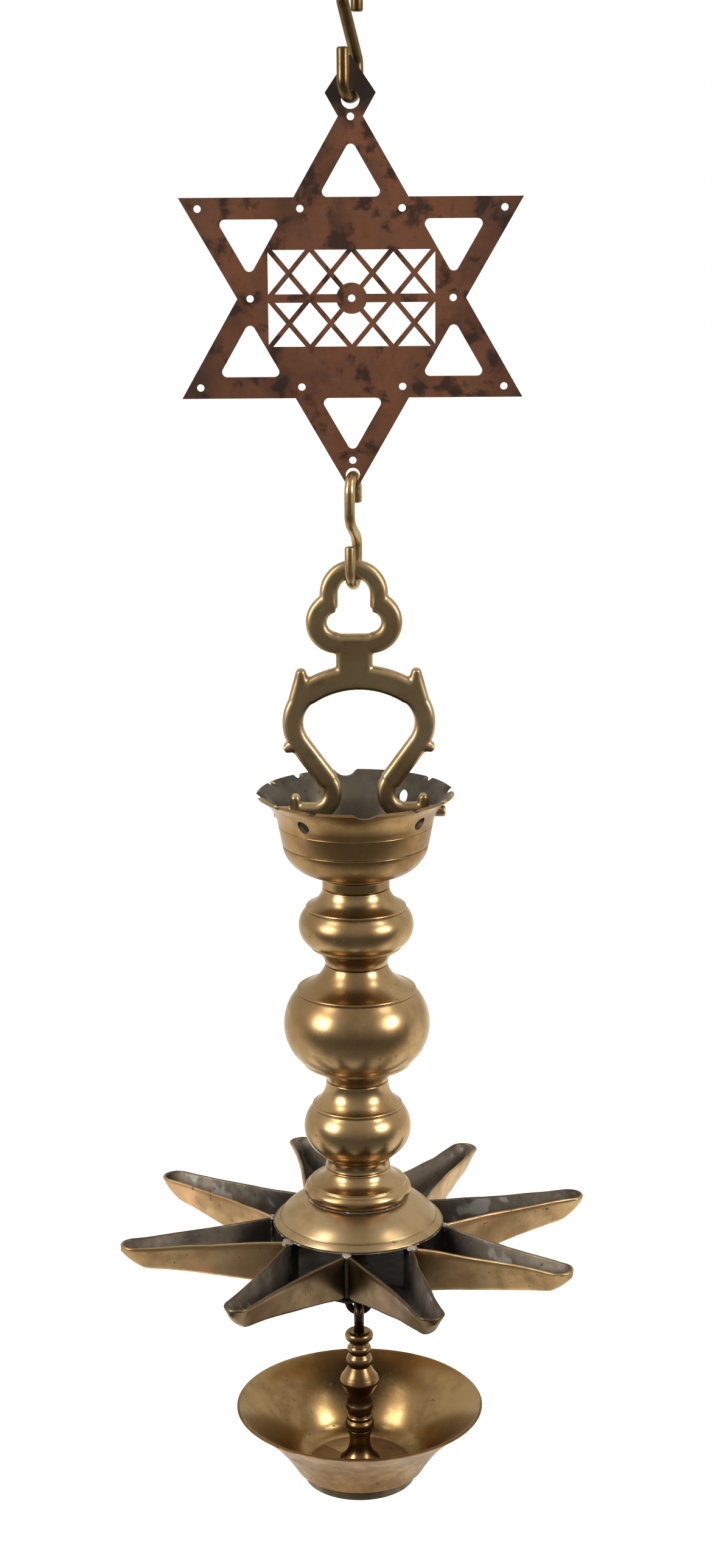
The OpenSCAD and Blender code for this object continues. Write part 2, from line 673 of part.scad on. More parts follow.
// Section of the trough across its length, from one rim round the keel to the other rim
keel_round = 2;
corner_steps = 3;
function corner(a, b, c, n) = [
    for (i = [0:n]) let (t = i / n) a * (1 - t) ^ 2 + b * 2 * t * (1 - t) + c * t ^ 2];
function spout_side(top, foot, depth) =
    let (r = min(keel_round, foot * 0.8, depth * 0.4))
    let (rim = [top, 0])
    let (low = [foot, -depth])
    let (up = (rim - low) / norm(rim - low))
    concat([rim], corner(low + up * r, low, low - [r, 0], corner_steps));
function spout_section(top, foot, depth) =
    let (side = spout_side(top, foot, depth))
    concat(side, [for (p = reversed(side)) [-p[0], p[1]]]);
function at_x(x, section, swing) = [for (p = section) [x, p[0] + swing * along(x), z_star_rim + p[1]]];

function outer_rings(swing) = [
    for (x = spout_x) at_x(x, spout_section(rim_half(x), keel_half(x), spout_depth(x)), swing)];
function inner_rings(swing) = [
    for (x = spout_x)
        at_x(x <= x_nose ? x : x_nose + (x - x_nose) * (tip_r - sheet_t * 1.2 - x_nose) / (tip_r - x_nose),
             spout_section(rim_half(x) - sheet_t * nose(x), keel_half(x) - sheet_t * nose(x),
                           spout_depth(x) - sheet_t * prow(x)), swing)];

// Sideways lean of each spout's tip, as the hand-set spouts stand unevenly
tip_swing = [4, 0, 1, -5.4, -2.2, 0.4, 4, -2.8];

// Faces of the trough: outside, inside, the two rims, the open root, and the closed tip
module spout(swing) {
    rows = len(spout_x);
    last = rows - 1;
    rings = concat(outer_rings(swing), inner_rings(swing));
    cols = len(rings[0]);
    inside = rows * cols;
    function at(i, j) = i * cols + j;
    faces = concat(
        [for (i = [0:rows - 2], j = [0:cols - 2]) [at(i, j), at(i + 1, j), at(i + 1, j + 1), at(i, j + 1)]],
        [for (i = [0:rows - 2], j = [0:cols - 2])
            [inside + at(i, j + 1), inside + at(i + 1, j + 1), inside + at(i + 1, j), inside + at(i, j)]],
        [for (i = [0:rows - 2]) [at(i, 0), inside + at(i, 0), inside + at(i + 1, 0), at(i + 1, 0)]],
        [for (i = [0:rows - 2])
            [inside + at(i, cols - 1), at(i, cols - 1), at(i + 1, cols - 1), inside + at(i + 1, cols - 1)]],
        [for (j = [0:cols - 2]) [at(0, j), at(0, j + 1), inside + at(0, j + 1), inside + at(0, j)]],
        [[at(last, cols - 1), at(last, 0), inside + at(last, 0), inside + at(last, cols - 1)]]);
    caps = concat(
        [for (j = [1:cols - 2]) [at(last, 0), at(last, j + 1), at(last, j)]],
        [for (j = [1:cols - 2]) [inside + at(last, 0), inside + at(last, j), inside + at(last, j + 1)]]);
    triangles = concat([for (f = faces) each [[f[0], f[1], f[2]], [f[0], f[2], f[3]]]], caps);
    polyhedron([for (ring = rings) each ring], triangles);
}

module placed_spout(i) {
    color(aged_brass) rotate([0, 0, star_turn + 2 * half_spout * (i - 1)]) spout(tip_swing[i - 1]);
}

// Eight-sided plate under the middle of the star
module star_floor() {
    floor_r = (x_notch + 1.5) / cos(half_spout);
    color(aged_brass)
        difference() {
            translate([0, 0, z_star_floor - floor_t])
                rotate([0, 0, star_turn + half_spout])
                    cylinder(r = floor_r, h = floor_t - seat_gap, $fn = 8);
            translate([0, 0, z_star_floor - floor_t - 1]) cylinder(r = rod_hole_r, h = floor_t + 2);
        }
}

module tie_rod() {
    z_rod_top = z_crown_floor + washer_t + nut_h + rod_above_nut;
    z_rod_foot = z_eye_boss - eye_boss_h + 2;
    color(steel) translate([0, 0, z_rod_foot]) cylinder(r = rod_r, h = z_rod_top - z_rod_foot);
}

module rod_washer() {
    color(aged_brass) translate([0, 0, z_crown_floor])
        difference() {
            cylinder(r = washer_r, h = washer_t);
            translate([0, 0, -1]) cylinder(r = rod_r + fit_gap, h = washer_t + 2);
        }
}

module rod_nut() {
    color(aged_brass) translate([0, 0, z_crown_floor + washer_t])
        difference() {
            cylinder(r = nut_r, h = nut_h, $fn = 4);
            translate([0, 0, -1]) cylinder(r = rod_r + fit_gap, h = nut_h + 2);
        }
}

// Eye on the rod's lower end: a threaded boss, a neck and a ring
module bottom_eye() {
    neck_r = eye_wire_d * 0.75;
    color(aged_brass) {
        difference() {
            translate([0, 0, z_eye_boss - eye_boss_h]) cylinder(r = eye_boss_r, h = eye_boss_h);
            translate([0, 0, z_eye_boss - eye_boss_h + 2]) cylinder(r = rod_r + fit_gap, h = eye_boss_h);
        }
        translate([0, 0, z_eye + eye_r]) cylinder(r = neck_r, h = z_eye_boss - eye_boss_h - z_eye - eye_r);
        translate([0, 0, z_eye]) rotate([90, 0, 0])
            rotate_extrude() translate([eye_r, 0]) circle(d = eye_wire_d);
    }
}

// Path of the stem's hook: an open loop whose slanting shank bends down onto the stem's axis
shank_lean = 45;
shank_bend_r = drip_wire_d * 0.6;
hook_start = -25;
function drip_hook_path() =
    let (r = drip_loop_r)
    let (z_bend = z_drip_loop - (r + shank_bend_r * (1 - cos(shank_lean))) / sin(shank_lean))
    concat(
        [[r * cos(hook_start), z_drip_loop + r * sin(hook_start), hook_start + 180, 0.7]],
        [for (i = [0:loop_steps]) let (a = mix(hook_start + 4, 180 + shank_lean, i / loop_steps))
            [r * cos(a), z_drip_loop + r * sin(a), a + 180, 1]],
        [for (i = [0:bend_steps]) let (a = shank_lean * (1 - i / bend_steps))
            [-shank_bend_r * (1 - cos(a)), z_bend + shank_bend_r * sin(a), a, 1]],
        [[0, z_stem + seat_gap, 0, 1]]);

module drip_hook() {
    color(aged_brass) rotate([0, 0, 90]) swept_wire(drip_hook_path(), drip_wire_d);
}

// Turned stem of the drip bowl: cap, beads, knop, barrel, bead and spreading foot
stem_r = 5.3;
module drip_stem() {
    function down(r, d) = [r, z_stem - d * stem_len];
    color(brass) rotate_extrude()
        polygon(concat(
            [[0, z_stem]],
            bow(down(stem_r - 0.2, 0), down(stem_r, 0.075), -150),
            bow(down(stem_r - 0.2, 0.08), down(stem_r - 0.2, 0.1), 60, 4),
            bead(down(stem_r - 0.1, 0.11), down(stem_r - 0.1, 0.165), 0.9),
            bead(down(stem_r, 0.18), down(stem_r + 0.2, 0.265), 1.2),
            bow(down(stem_r + 0.7, 0.275), down(stem_knop_r - 0.5, 0.345), 12, 6),
            bow(down(stem_knop_r - 0.1, 0.36), down(stem_knop_r - 0.2, 0.395), -60, 6),
            [down(stem_r + 2.3, 0.445), down(stem_r + 2.1, 0.455), down(stem_r + 1.2, 0.462)],
            bow(down(stem_r + 1.1, 0.47), down(stem_r + 1.2, 0.55), 30, 6),
            bow(down(stem_r + 1.3, 0.55), down(stem_r + 0.2, 0.635), -60, 6),
            bead(down(stem_r + 0.9, 0.64), down(stem_r + 0.9, 0.665), 0.4, 4),
            bead(down(stem_r + 0.8, 0.67), down(stem_r + 0.8, 0.745), 1.3),
            [down(stem_r + 1, 0.75), down(stem_r + 0.9, 0.765)],
            bow(down(stem_r + 0.6, 0.775), down(stem_foot_r - 1.4, 0.955), 66),
            bow(down(stem_foot_r - 0.5, 0.965), down(stem_foot_r, 1), -40, 4),
            [[stem_spigot_r, z_drip_floor],
             [stem_spigot_r, z_drip_under - stem_nut_h], [0, z_drip_under - stem_nut_h]]));
}

// Flared bowl with a flat floor and a foot ring
module drip_bowl() {
    wall_foot_r = foot_r + 4.2;
    color(brass) rotate_extrude()
        polygon(concat(
            bow([drip_r, z_drip_rim - 0.8], [wall_foot_r, z_drip_under + 1.6], 24, 14),
            [[foot_r, z_drip_under], [foot_r, z_drip_under - 0.6], [foot_r - 0.5, z_foot], [foot_r - 4.2, z_foot],
             [foot_r - 4.2, z_drip_under], [stem_spigot_r + fit_gap, z_drip_under],
             [stem_spigot_r + fit_gap, z_drip_floor], [wall_foot_r - 7, z_drip_floor]],
            bow([wall_foot_r - 5.5, z_drip_floor + 0.3], [wall_foot_r + 0.5, z_drip_floor + 4.6], 26, 5),
            reversed(bow([drip_r - 1.4, z_drip_rim], [wall_foot_r + 1.6, z_drip_floor + 6], 22, 14))));
}

// Round nut that clamps the stem under the bowl's floor
module stem_nut() {
    color(aged_brass) translate([0, 0, z_drip_under - stem_nut_h])
        difference() {
            cylinder(r = stem_spigot_r + 4, h = stem_nut_h);
            translate([0, 0, -1]) cylinder(r = stem_spigot_r + fit_gap, h = stem_nut_h + 2);
        }
}

top_hook();
star_plate();
lower_hook();
bail();
crown_bowl();
rod_nut();
rod_washer();
tie_rod();
upper_knop();
middle_knop();
lower_knop();
base_ring();
star_cover();
star_floor();
bottom_eye();
drip_hook();
drip_stem();
drip_bowl();
stem_nut();
for (i = SPOUTS) placed_spout(i);
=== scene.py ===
import math

import bmesh
import bpy
from mathutils import Matrix, Vector, noise


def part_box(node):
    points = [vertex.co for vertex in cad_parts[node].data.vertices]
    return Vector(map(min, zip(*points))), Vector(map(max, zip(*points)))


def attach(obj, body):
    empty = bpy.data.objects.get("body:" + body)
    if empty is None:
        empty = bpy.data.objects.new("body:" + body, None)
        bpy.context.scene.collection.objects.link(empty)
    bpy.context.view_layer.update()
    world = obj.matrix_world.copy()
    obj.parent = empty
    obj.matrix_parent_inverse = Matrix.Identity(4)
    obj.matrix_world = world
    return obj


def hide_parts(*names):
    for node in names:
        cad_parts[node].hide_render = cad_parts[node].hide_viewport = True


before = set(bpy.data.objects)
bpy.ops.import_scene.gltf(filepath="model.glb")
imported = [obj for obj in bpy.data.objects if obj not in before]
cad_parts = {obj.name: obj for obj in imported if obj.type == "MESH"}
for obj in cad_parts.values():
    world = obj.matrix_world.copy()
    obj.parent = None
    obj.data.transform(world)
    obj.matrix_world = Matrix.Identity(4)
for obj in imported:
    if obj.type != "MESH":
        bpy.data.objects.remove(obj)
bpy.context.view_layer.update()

MM = 0.001
WEAR_SEED = 5
noise.seed_set(WEAR_SEED)


# Places read from the frame, in millimetres


def low(node):
    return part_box(node)[0].z / MM


def high(node):
    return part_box(node)[1].z / MM


def reach(node):
    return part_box(node)[1].x / MM


Z_RIM = high("crown_bowl")
Z_NECK_1 = low("crown_bowl")
Z_NECK_2 = low("upper_knop")
Z_NECK_3 = low("middle_knop")
Z_NECK_4 = low("lower_knop")
Z_BASE = low("base_ring")
Z_STAR_RIM = low("star_cover")
Z_STAR_FLOOR = high("star_floor")
Z_STEM = high("drip_stem")
Z_DRIP_RIM = high("drip_bowl")
Z_FOOT = low("drip_bowl")
PIVOT_DROP = 10.1
Z_PIVOT = Z_RIM - PIVOT_DROP

CROWN_R = reach("crown_bowl")
CROWN_WALL_R = 37.9
CROWN_WALL = 2.6
CROWN_FOOT = Z_NECK_1 + 7
HALF_FLOOR = 3.2
CROWN_FLOOR = CROWN_FOOT + HALF_FLOOR
NECK_1_R = 16.4
NECK_2_R = 15.3
NECK_3_R = 15.4
NECK_4_R = 16.1
SHAFT_WALL = 3
SPIGOT_GAP = 0.1
BASE_R = reach("base_ring")
COVER_R = reach("star_cover")
DRIP_R = reach("drip_bowl")
ROD_R = reach("tie_rod")
ROD_BORE = ROD_R + 0.3


# Curves and meshes

UP = Vector((0, 0, 1))
BACK = Vector((0, 1, 0))
ON_AXIS = 0.01
SAME_PLACE = 1e-6
SMOOTH_BEND = math.radians(16)


def bow(p, q, turn, n=16):
    """Points of an arc from p to q that turns left by the given angle, or right where it is negative."""
    dx = q[0] - p[0]
    dz = q[1] - p[1]
    whole = math.radians(turn)
    points = []
    for i in range(n + 1):
        t = i / n
        a = whole * (t - 1) / 2
        k = math.sin(whole * t / 2) / math.sin(whole / 2)
        points.append((p[0] + k * (dx * math.cos(a) - dz * math.sin(a)),
                       p[1] + k * (dx * math.sin(a) + dz * math.cos(a))))
    return points


def bead(p, q, out, n=10):
    """A round bead from p down to q that stands out by the given height."""
    return bow(p, q, -4 * math.degrees(math.atan(2 * out / math.dist(p, q))), n)


def mix(a, b, t):
    return a + (b - a) * t


def on_circle(x, z, r, angle):
    return (x + r * math.cos(angle), z + r * math.sin(angle))


def eased(profile, radius):
    """The closed profile with its corners rounded off."""
    points = []
    n = len(profile)
    for i in range(n):
        p = Vector(profile[i - 1])
        q = Vector(profile[i])
        s = Vector(profile[(i + 1) % n])
        u = p - q
        v = s - q
        if q.x < ON_AXIS or u.length < SAME_PLACE or v.length < SAME_PLACE:
            points.append(q)
            continue
        if math.pi - u.angle(v) < SMOOTH_BEND:
            points.append(q)
            continue
        cut = min(radius, u.length * 0.4, v.length * 0.4)
        start = q + u.normalized() * cut
        end = q + v.normalized() * cut
        for k in range(4):
            t = k / 3
            points.append(start * (1 - t) ** 2 + q * (2 * t * (1 - t)) + end * t ** 2)
    return points


def angles(count):
    """Even steps round a circle."""
    return [2 * math.pi * j / count for j in range(count)]


def add_ring(bm, points):
    """A ring of mesh points, from places in millimetres."""
    return [bm.verts.new((x * MM, y * MM, z * MM)) for x, y, z in points]


def add_lathe(bm, profile, segments=176, ease=0.35):
    """A closed profile turned about the vertical axis."""
    rings = []
    for x, z in eased(profile, ease):
        if x < ON_AXIS:
            rings.append(add_ring(bm, [(0, 0, z)]))
        else:
            rings.append(add_ring(bm, [(x * math.cos(a), x * math.sin(a), z) for a in angles(segments)]))
    for i, ring in enumerate(rings):
        join_rings(bm, ring, rings[(i + 1) % len(rings)])


def join_rings(bm, ring, after):
    """Faces between two rings, either of which may be a single point."""
    if len(ring) == 1 and len(after) == 1:
        return
    count = max(len(ring), len(after))
    for j in range(count):
        k = (j + 1) % count
        if len(ring) == 1:
            bm.faces.new((ring[0], after[k], after[j]))
        elif len(after) == 1:
            bm.faces.new((ring[j], ring[k], after[0]))
        else:
            bm.faces.new((ring[j], ring[k], after[k], after[j]))


def add_tube(bm, path, sides=28, closed=False):
    """A round tube along stations of (point, side direction, cross direction, radius), in millimetres."""
    rings = []
    for centre, side, cross, radius in path:
        ring = []
        for a in angles(sides):
            place = centre + side * (radius * math.cos(a)) + cross * (radius * math.sin(a))
            ring.append(bm.verts.new(place * MM))
        rings.append(ring)
    close_tube(bm, rings, closed)


def close_tube(bm, rings, closed=False):
    """Skin over a row of rings, with end faces unless the row runs in a circle."""
    for i in range(len(rings) - 1):
        join_rings(bm, rings[i], rings[i + 1])
    if closed:
        join_rings(bm, rings[-1], rings[0])
    else:
        bm.faces.new(rings[0])
        bm.faces.new(rings[-1][::-1])


def worn(bm, amount, scale, seed):
    """Moves the points a little, as handwork does."""
    for v in bm.verts:
        where = v.co / MM * scale + Vector((seed * 17.3, seed * 5.1, seed * 9.7))
        v.co += noise.noise_vector(where) * (amount * MM)


def mesh_of(bm, name):
    mesh = bpy.data.meshes.new(name)
    bm.to_mesh(mesh)
    bm.free()
    return mesh


def add_object(name, data):
    obj = bpy.data.objects.new(name, data)
    bpy.context.scene.collection.objects.link(obj)
    return obj


def finish_piece(bm, name, body, replaced, materials, sharp=None):
    """Makes the object, smooth shaded, on its body and in place of its CAD nodes."""
    bmesh.ops.recalc_face_normals(bm, faces=bm.faces)
    for f in bm.faces:
        f.smooth = True
    if sharp:
        for e in bm.edges:
            if len(e.link_faces) == 2 and e.calc_face_angle(0.0) > math.radians(sharp):
                e.smooth = False
    obj = add_object(name, mesh_of(bm, name))
    for m in materials:
        obj.data.materials.append(m)
    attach(obj, body)
    if replaced:
        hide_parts(*replaced)
    return obj


def turned_piece(name, body, node, slot, materials, profile, **lathe):
    """A piece that is only turned, from its profile."""
    bm = bmesh.new()
    add_lathe(bm, profile, **lathe)
    return finish_piece(bm, name, body, [node], materials)


def round_edges(obj, width_mm, least_angle):
    rounding = obj.modifiers.new("rounding", "BEVEL")
    rounding.width = width_mm * MM
    rounding.segments = 2
    rounding.limit_method = "ANGLE"
    rounding.angle_limit = math.radians(least_angle)


def baked(obj):
    """Turns an object's modifiers into its mesh."""
    graph = bpy.context.evaluated_depsgraph_get()
    mesh = bpy.data.meshes.new_from_object(obj.evaluated_get(graph))
    obj.modifiers.clear()
    old = obj.data
    obj.data = mesh
    mesh.name = obj.name
    bpy.data.meshes.remove(old)


# Materials


class NodeTree:
    """Short ways to make shader nodes and to join them."""

    def __init__(self, tree):
        self.tree = tree

    def feed(self, socket, value):
        if isinstance(value, bpy.types.NodeSocket):
            self.tree.links.new(value, socket)
        else:
            socket.default_value = value

    def node(self, kind, **inputs):
        made = self.tree.nodes.new(kind)
        for key, value in inputs.items():
            self.feed(made.inputs[key.replace("_", " ")], value)
        return made

    def maths(self, operation, a, b=0.0):
        made = self.tree.nodes.new("ShaderNodeMath")
        made.operation = operation
        self.feed(made.inputs[0], a)
        self.feed(made.inputs[1], b)
        return made.outputs["Value"]

    def times(self, a, b):
        return self.maths("MULTIPLY", a, b)

    def plus(self, a, b):
        return self.maths("ADD", a, b)

    def ramp(self, value, start, end, low_end=0.0, high_end=1.0, smooth=True):
        """A value mapped from start and end to the two ends."""
        made = self.node("ShaderNodeMapRange", Value=value, From_Min=start, From_Max=end, To_Min=low_end,
                         To_Max=high_end)
        made.interpolation_type = "SMOOTHSTEP" if smooth else "LINEAR"
        return made.outputs["Result"]

    def axes(self, vector):
        return self.node("ShaderNodeSeparateXYZ", Vector=vector).outputs

    def radius(self, axes):
        """Distance from the vertical axis."""
        squares = [self.times(axes[name], axes[name]) for name in ("X", "Y")]
        return self.maths("SQRT", self.plus(*squares))


class Shader(NodeTree):
    """A material whose noise lies over the piece's own coordinates."""

    def __init__(self, name):
        self.material = bpy.data.materials.new(name)
        self.material.use_nodes = True
        super().__init__(self.material.node_tree)
        self.bsdf = self.tree.nodes["Principled BSDF"]
        self.coord = self.node("ShaderNodeTexCoord").outputs["Object"]

    def noise(self, scale, detail=4.0, roughness=0.6, distortion=0.0):
        return self.node("ShaderNodeTexNoise", Vector=self.coord, Scale=scale, Detail=detail,
                         Roughness=roughness, Distortion=distortion).outputs["Fac"]

    def spread(self, noise_value, a, b):
        """The usual range of a noise, spread from a to b."""
        return self.ramp(noise_value, 0.3, 0.7, a, b, smooth=False)

    def blend(self, factor, a, b):
        made = self.tree.nodes.new("ShaderNodeMix")
        made.data_type = "RGBA"
        self.feed(made.inputs["Factor"], factor)
        self.feed(made.inputs["A"], a)
        self.feed(made.inputs["B"], b)
        return made.outputs["Result"]

    def turning(self, scale):
        """Noise that runs in rings about the vertical axis."""
        axes = self.axes(self.coord)
        made = self.tree.nodes.new("ShaderNodeTexNoise")
        made.noise_dimensions = "1D"
        self.feed(made.inputs["W"], self.plus(self.times(self.radius(axes), 0.8), axes["Z"]))
        made.inputs["Scale"].default_value = scale
        made.inputs["Detail"].default_value = 3.0
        return made.outputs["Fac"]

    def crevices(self, reach_mm):
        """How closed in a point is, from 0 on open faces to 1 in grooves."""
        made = self.node("ShaderNodeAmbientOcclusion", Distance=reach_mm * MM)
        made.samples = 5
        made.only_local = True
        return self.ramp(made.outputs["AO"], 0.78, 0.3)

    def bump(self, height, strength, distance_mm, under=None):
        made = self.node("ShaderNodeBump", Height=height, Strength=strength, Distance=distance_mm * MM)
        if under:
            self.feed(made.inputs["Normal"], under)
        return made.outputs["Normal"]


def rgb(r, g, b):
    """A colour given as it is seen, from 0 to 255, for a shader."""
    def linear(c):
        c = c / 255
        return c / 12.92 if c <= 0.04045 else ((c + 0.055) / 1.055) ** 2.4
    return (linear(r), linear(g), linear(b), 1.0)


# Tint of a metal seen at a flat angle
EDGE_TINT = (0.9, 0.84, 0.74, 1.0)


def metal(name, bright, dull, patch, spot, grime_and_shade, rough, lines=0.0, pits=0.3, dents=0.1, patches=0.5,
          spots=0.6, patch_scale=52.0, patch_start=0.54, patch_edge=0.16, patch_detail=6.0, closeness=5.0,
          painted_shade_and_blackening=None, metallic=1.0):
    """A toned metal: two tones of tarnish, patches, spots, and grime with painted shade where it is closed
    in.
    """
    s = Shader(name)
    bright, dull, patch, spot, grime_and_shade = [rgb(*tone) for tone in (bright, dull, patch, spot, grime_and_shade)]
    big = s.noise(18.0, 5.0, 0.6, distortion=0.4)
    middle = s.noise(95.0, 6.0, 0.62)
    fine = s.noise(620.0, 4.0, 0.6)
    tarnish = s.ramp(s.plus(s.times(big, 0.6), s.times(middle, 0.4)), 0.4, 0.62)
    colour = s.blend(tarnish, bright, dull)
    patch_noise = s.noise(patch_scale, patch_detail, 0.62, distortion=0.3)
    patch_at = s.ramp(patch_noise, patch_start, patch_start + patch_edge)
    colour = s.blend(s.times(patch_at, patches), colour, patch)
    # Darkening from a given mask, in the spot colour: painted shadow in the spouts, blackening on the plate
    if painted_shade_and_blackening:
        colour = s.blend(painted_shade_and_blackening(s), colour, spot)
    spot_at = s.ramp(s.noise(260.0, 3.0, 0.55), 0.66, 0.74)
    colour = s.blend(s.times(spot_at, spots), colour, spot)
    # Grime and painted shade: darker where ambient occlusion finds the surface closed in
    grime_and_shade_at = s.times(s.crevices(closeness), s.spread(middle, 0.8, 1.0))
    colour = s.blend(grime_and_shade_at, colour, grime_and_shade)
    s.feed(s.bsdf.inputs["Base Color"], colour)
    s.bsdf.inputs["Specular Tint"].default_value = EDGE_TINT
    s.feed(s.bsdf.inputs["Metallic"], s.maths("SUBTRACT", metallic, s.times(grime_and_shade_at, 0.45 * metallic)))
    roughness = s.spread(middle, *rough)
    for mask, added in ((fine, 0.06), (tarnish, 0.05), (spot_at, 0.25), (grime_and_shade_at, 0.3)):
        roughness = s.plus(roughness, s.times(mask, added))
    s.feed(s.bsdf.inputs["Roughness"], roughness)
    normal = s.bump(middle, dents, 0.4)
    normal = s.bump(fine, pits, 0.12, normal)
    if lines:
        normal = s.bump(s.turning(900.0), lines, 0.05, normal)
    s.feed(s.bsdf.inputs["Normal"], normal)
    return s.material


def middle_painted_shadow(s):
    """How much painted shadow darkens the spouts, most near the middle of the star."""
    uneven = s.plus(s.radius(s.axes(s.coord)), s.times(s.noise(40.0), 0.02))
    return s.times(s.ramp(uneven, 0.085, 0.05), 0.85)


def dark_tab(s):
    """How much of the plate is blackened: its tab wholly, its outer points in part."""
    place = s.axes(s.node("ShaderNodeTexCoord").outputs["Generated"])
    tab = s.ramp(place["Z"], 0.85, 0.91)
    aside = s.maths("ABSOLUTE", s.maths("SUBTRACT", place["X"], 0.5))
    points = s.times(s.ramp(aside, 0.3, 0.5), s.spread(s.noise(30.0), 0.2, 0.7))
    return s.maths("MAXIMUM", s.times(tab, 0.9), points)


turned_brass = metal(
    "turned_brass", (164, 136, 96), (134, 107, 71), (142, 104, 68), (76, 54, 32), (50, 36, 24),
    (0.2, 0.26), lines=0.12, pits=0.03, patches=0.35, spots=0.35, dents=0.03)
crown_brass = metal(
    "crown_brass", (144, 115, 76), (116, 90, 56), (126, 90, 56), (66, 47, 28), (46, 34, 22), (0.22, 0.3),
    lines=0.12, pits=0.08, patches=0.35, spots=0.4, dents=0.05)
cast_brass = metal(
    "cast_brass", (170, 145, 107), (138, 113, 78), (116, 90, 56), (66, 50, 32), (100, 90, 72),
    (0.26, 0.36), pits=0.12, dents=0.06)
wire_brass = metal(
    "wire_brass", (168, 142, 100), (128, 104, 68), (92, 70, 42), (70, 52, 30), (62, 46, 28), (0.24, 0.32),
    pits=0.03, dents=0.03)
hook_brass = metal(
    "hook_brass", (108, 86, 54), (82, 63, 37), (84, 64, 38), (62, 46, 28), (52, 39, 24), (0.24, 0.32),
    pits=0.03, dents=0.03)
stem_brass = metal(
    "stem_brass", (134, 106, 70), (92, 70, 42), (78, 57, 36), (46, 34, 22), (34, 25, 16), (0.18, 0.3),
    lines=0.2, pits=0.14)
eye_brass = metal(
    "eye_brass", (78, 64, 48), (54, 43, 31), (46, 36, 27), (32, 26, 20), (28, 22, 16), (0.2, 0.32),
    pits=0.3)
bowl_brass = metal(
    "bowl_brass", (148, 121, 80), (114, 88, 53), (122, 92, 56), (54, 42, 29), (50, 38, 26), (0.18, 0.24),
    lines=0.1, pits=0.04, spots=0.8, dents=0.05)
bowl_under = metal(
    "bowl_under", (122, 92, 54), (98, 71, 39), (104, 76, 48), (58, 42, 28), (46, 36, 25), (0.3, 0.42),
    lines=0.2, pits=0.34, spots=0.9)
foot_brass = metal(
    "foot_brass", (106, 92, 72), (80, 68, 52), (62, 48, 34), (36, 29, 22), (34, 27, 20), (0.3, 0.44),
    pits=0.34)
dome_brass = metal(
    "dome_brass", (164, 139, 102), (140, 115, 79), (152, 116, 80), (78, 58, 38), (56, 44, 30),
    (0.24, 0.3), lines=0.1, pits=0.03, patches=0.35, spots=0.4, dents=0.03)
sheet_brass = metal(
    "sheet_brass", (172, 143, 101), (142, 112, 76), (200, 142, 104), (58, 44, 33), (56, 44, 34),
    (0.26, 0.4), pits=0.24, patches=0.7, spots=0.7, patch_scale=30.0)
# A darker copy of the sheet for the two spouts at the front: painted shade
sheet_painted_shade = metal(
    "sheet_painted_shade", (106, 87, 62), (84, 67, 46), (120, 88, 67), (44, 34, 26), (50, 40, 31), (0.28, 0.42),
    pits=0.24, patches=0.7, spots=0.7, patch_scale=30.0)
# Tin inside the spouts: soot, with painted shadow near the star's middle
soot_and_shadow_tin = metal(
    "soot_and_shadow_tin", (114, 102, 88), (71, 62, 53), (150, 146, 138), (32, 27, 24), (32, 27, 24), (0.45, 0.65),
    pits=0.5, patches=0.75, patch_scale=42.0, patch_start=0.6, patch_edge=0.06, patch_detail=3.0,
    closeness=9.0, painted_shade_and_blackening=middle_painted_shadow, metallic=0.45)
rim_tin = metal(
    "rim_tin", (98, 86, 68), (68, 58, 45), (128, 114, 90), (42, 35, 28), (48, 40, 32), (0.32, 0.48),
    pits=0.4, metallic=0.7)
bowl_inside = metal(
    "bowl_inside", (88, 80, 67), (64, 57, 48), (80, 77, 55), (44, 39, 32), (46, 41, 33), (0.4, 0.55),
    pits=0.4, closeness=14.0, metallic=0.7)
solder_grey = metal(
    "solder_grey", (96, 86, 73), (62, 54, 44), (184, 180, 170), (42, 35, 29), (42, 35, 28), (0.4, 0.58),
    pits=0.8, patches=0.9, patch_scale=150.0, patch_edge=0.1, metallic=0.5)
seam_brown = metal(
    "seam_brown", (84, 70, 54), (54, 45, 35), (160, 152, 138), (40, 33, 26), (42, 35, 28), (0.4, 0.56),
    pits=0.6, patches=0.8, patch_scale=150.0, patch_start=0.6, patch_edge=0.08, metallic=0.6)
solder_pale = metal(
    "solder_pale", (168, 160, 146), (124, 114, 98), (92, 80, 64), (58, 48, 38), (66, 56, 44), (0.4, 0.58),
    pits=0.8, patches=0.7, patch_scale=160.0, metallic=0.5)
plate_copper = metal(
    "plate_copper", (148, 99, 73), (98, 69, 55), (58, 50, 46), (62, 56, 52), (44, 36, 31), (0.38, 0.54),
    pits=0.4, patches=0.8, patch_scale=74.0, patch_start=0.5, patch_edge=0.13, painted_shade_and_blackening=dark_tab)
old_steel = metal(
    "old_steel", (96, 82, 66), (62, 52, 42), (90, 64, 44), (40, 32, 26), (40, 32, 25), (0.4, 0.6),
    pits=0.6)


# Hooks bent from round wire

LOOP_STEPS = 36
BEND_STEPS = 10
HOOK_WEAR = 0.05
# Thinning of a wire's end: distance in wire diameters, share of the radius
WIRE_END = ((0.0, 0.62), (0.035, 0.84), (0.1, 0.95), (0.2, 1.0))


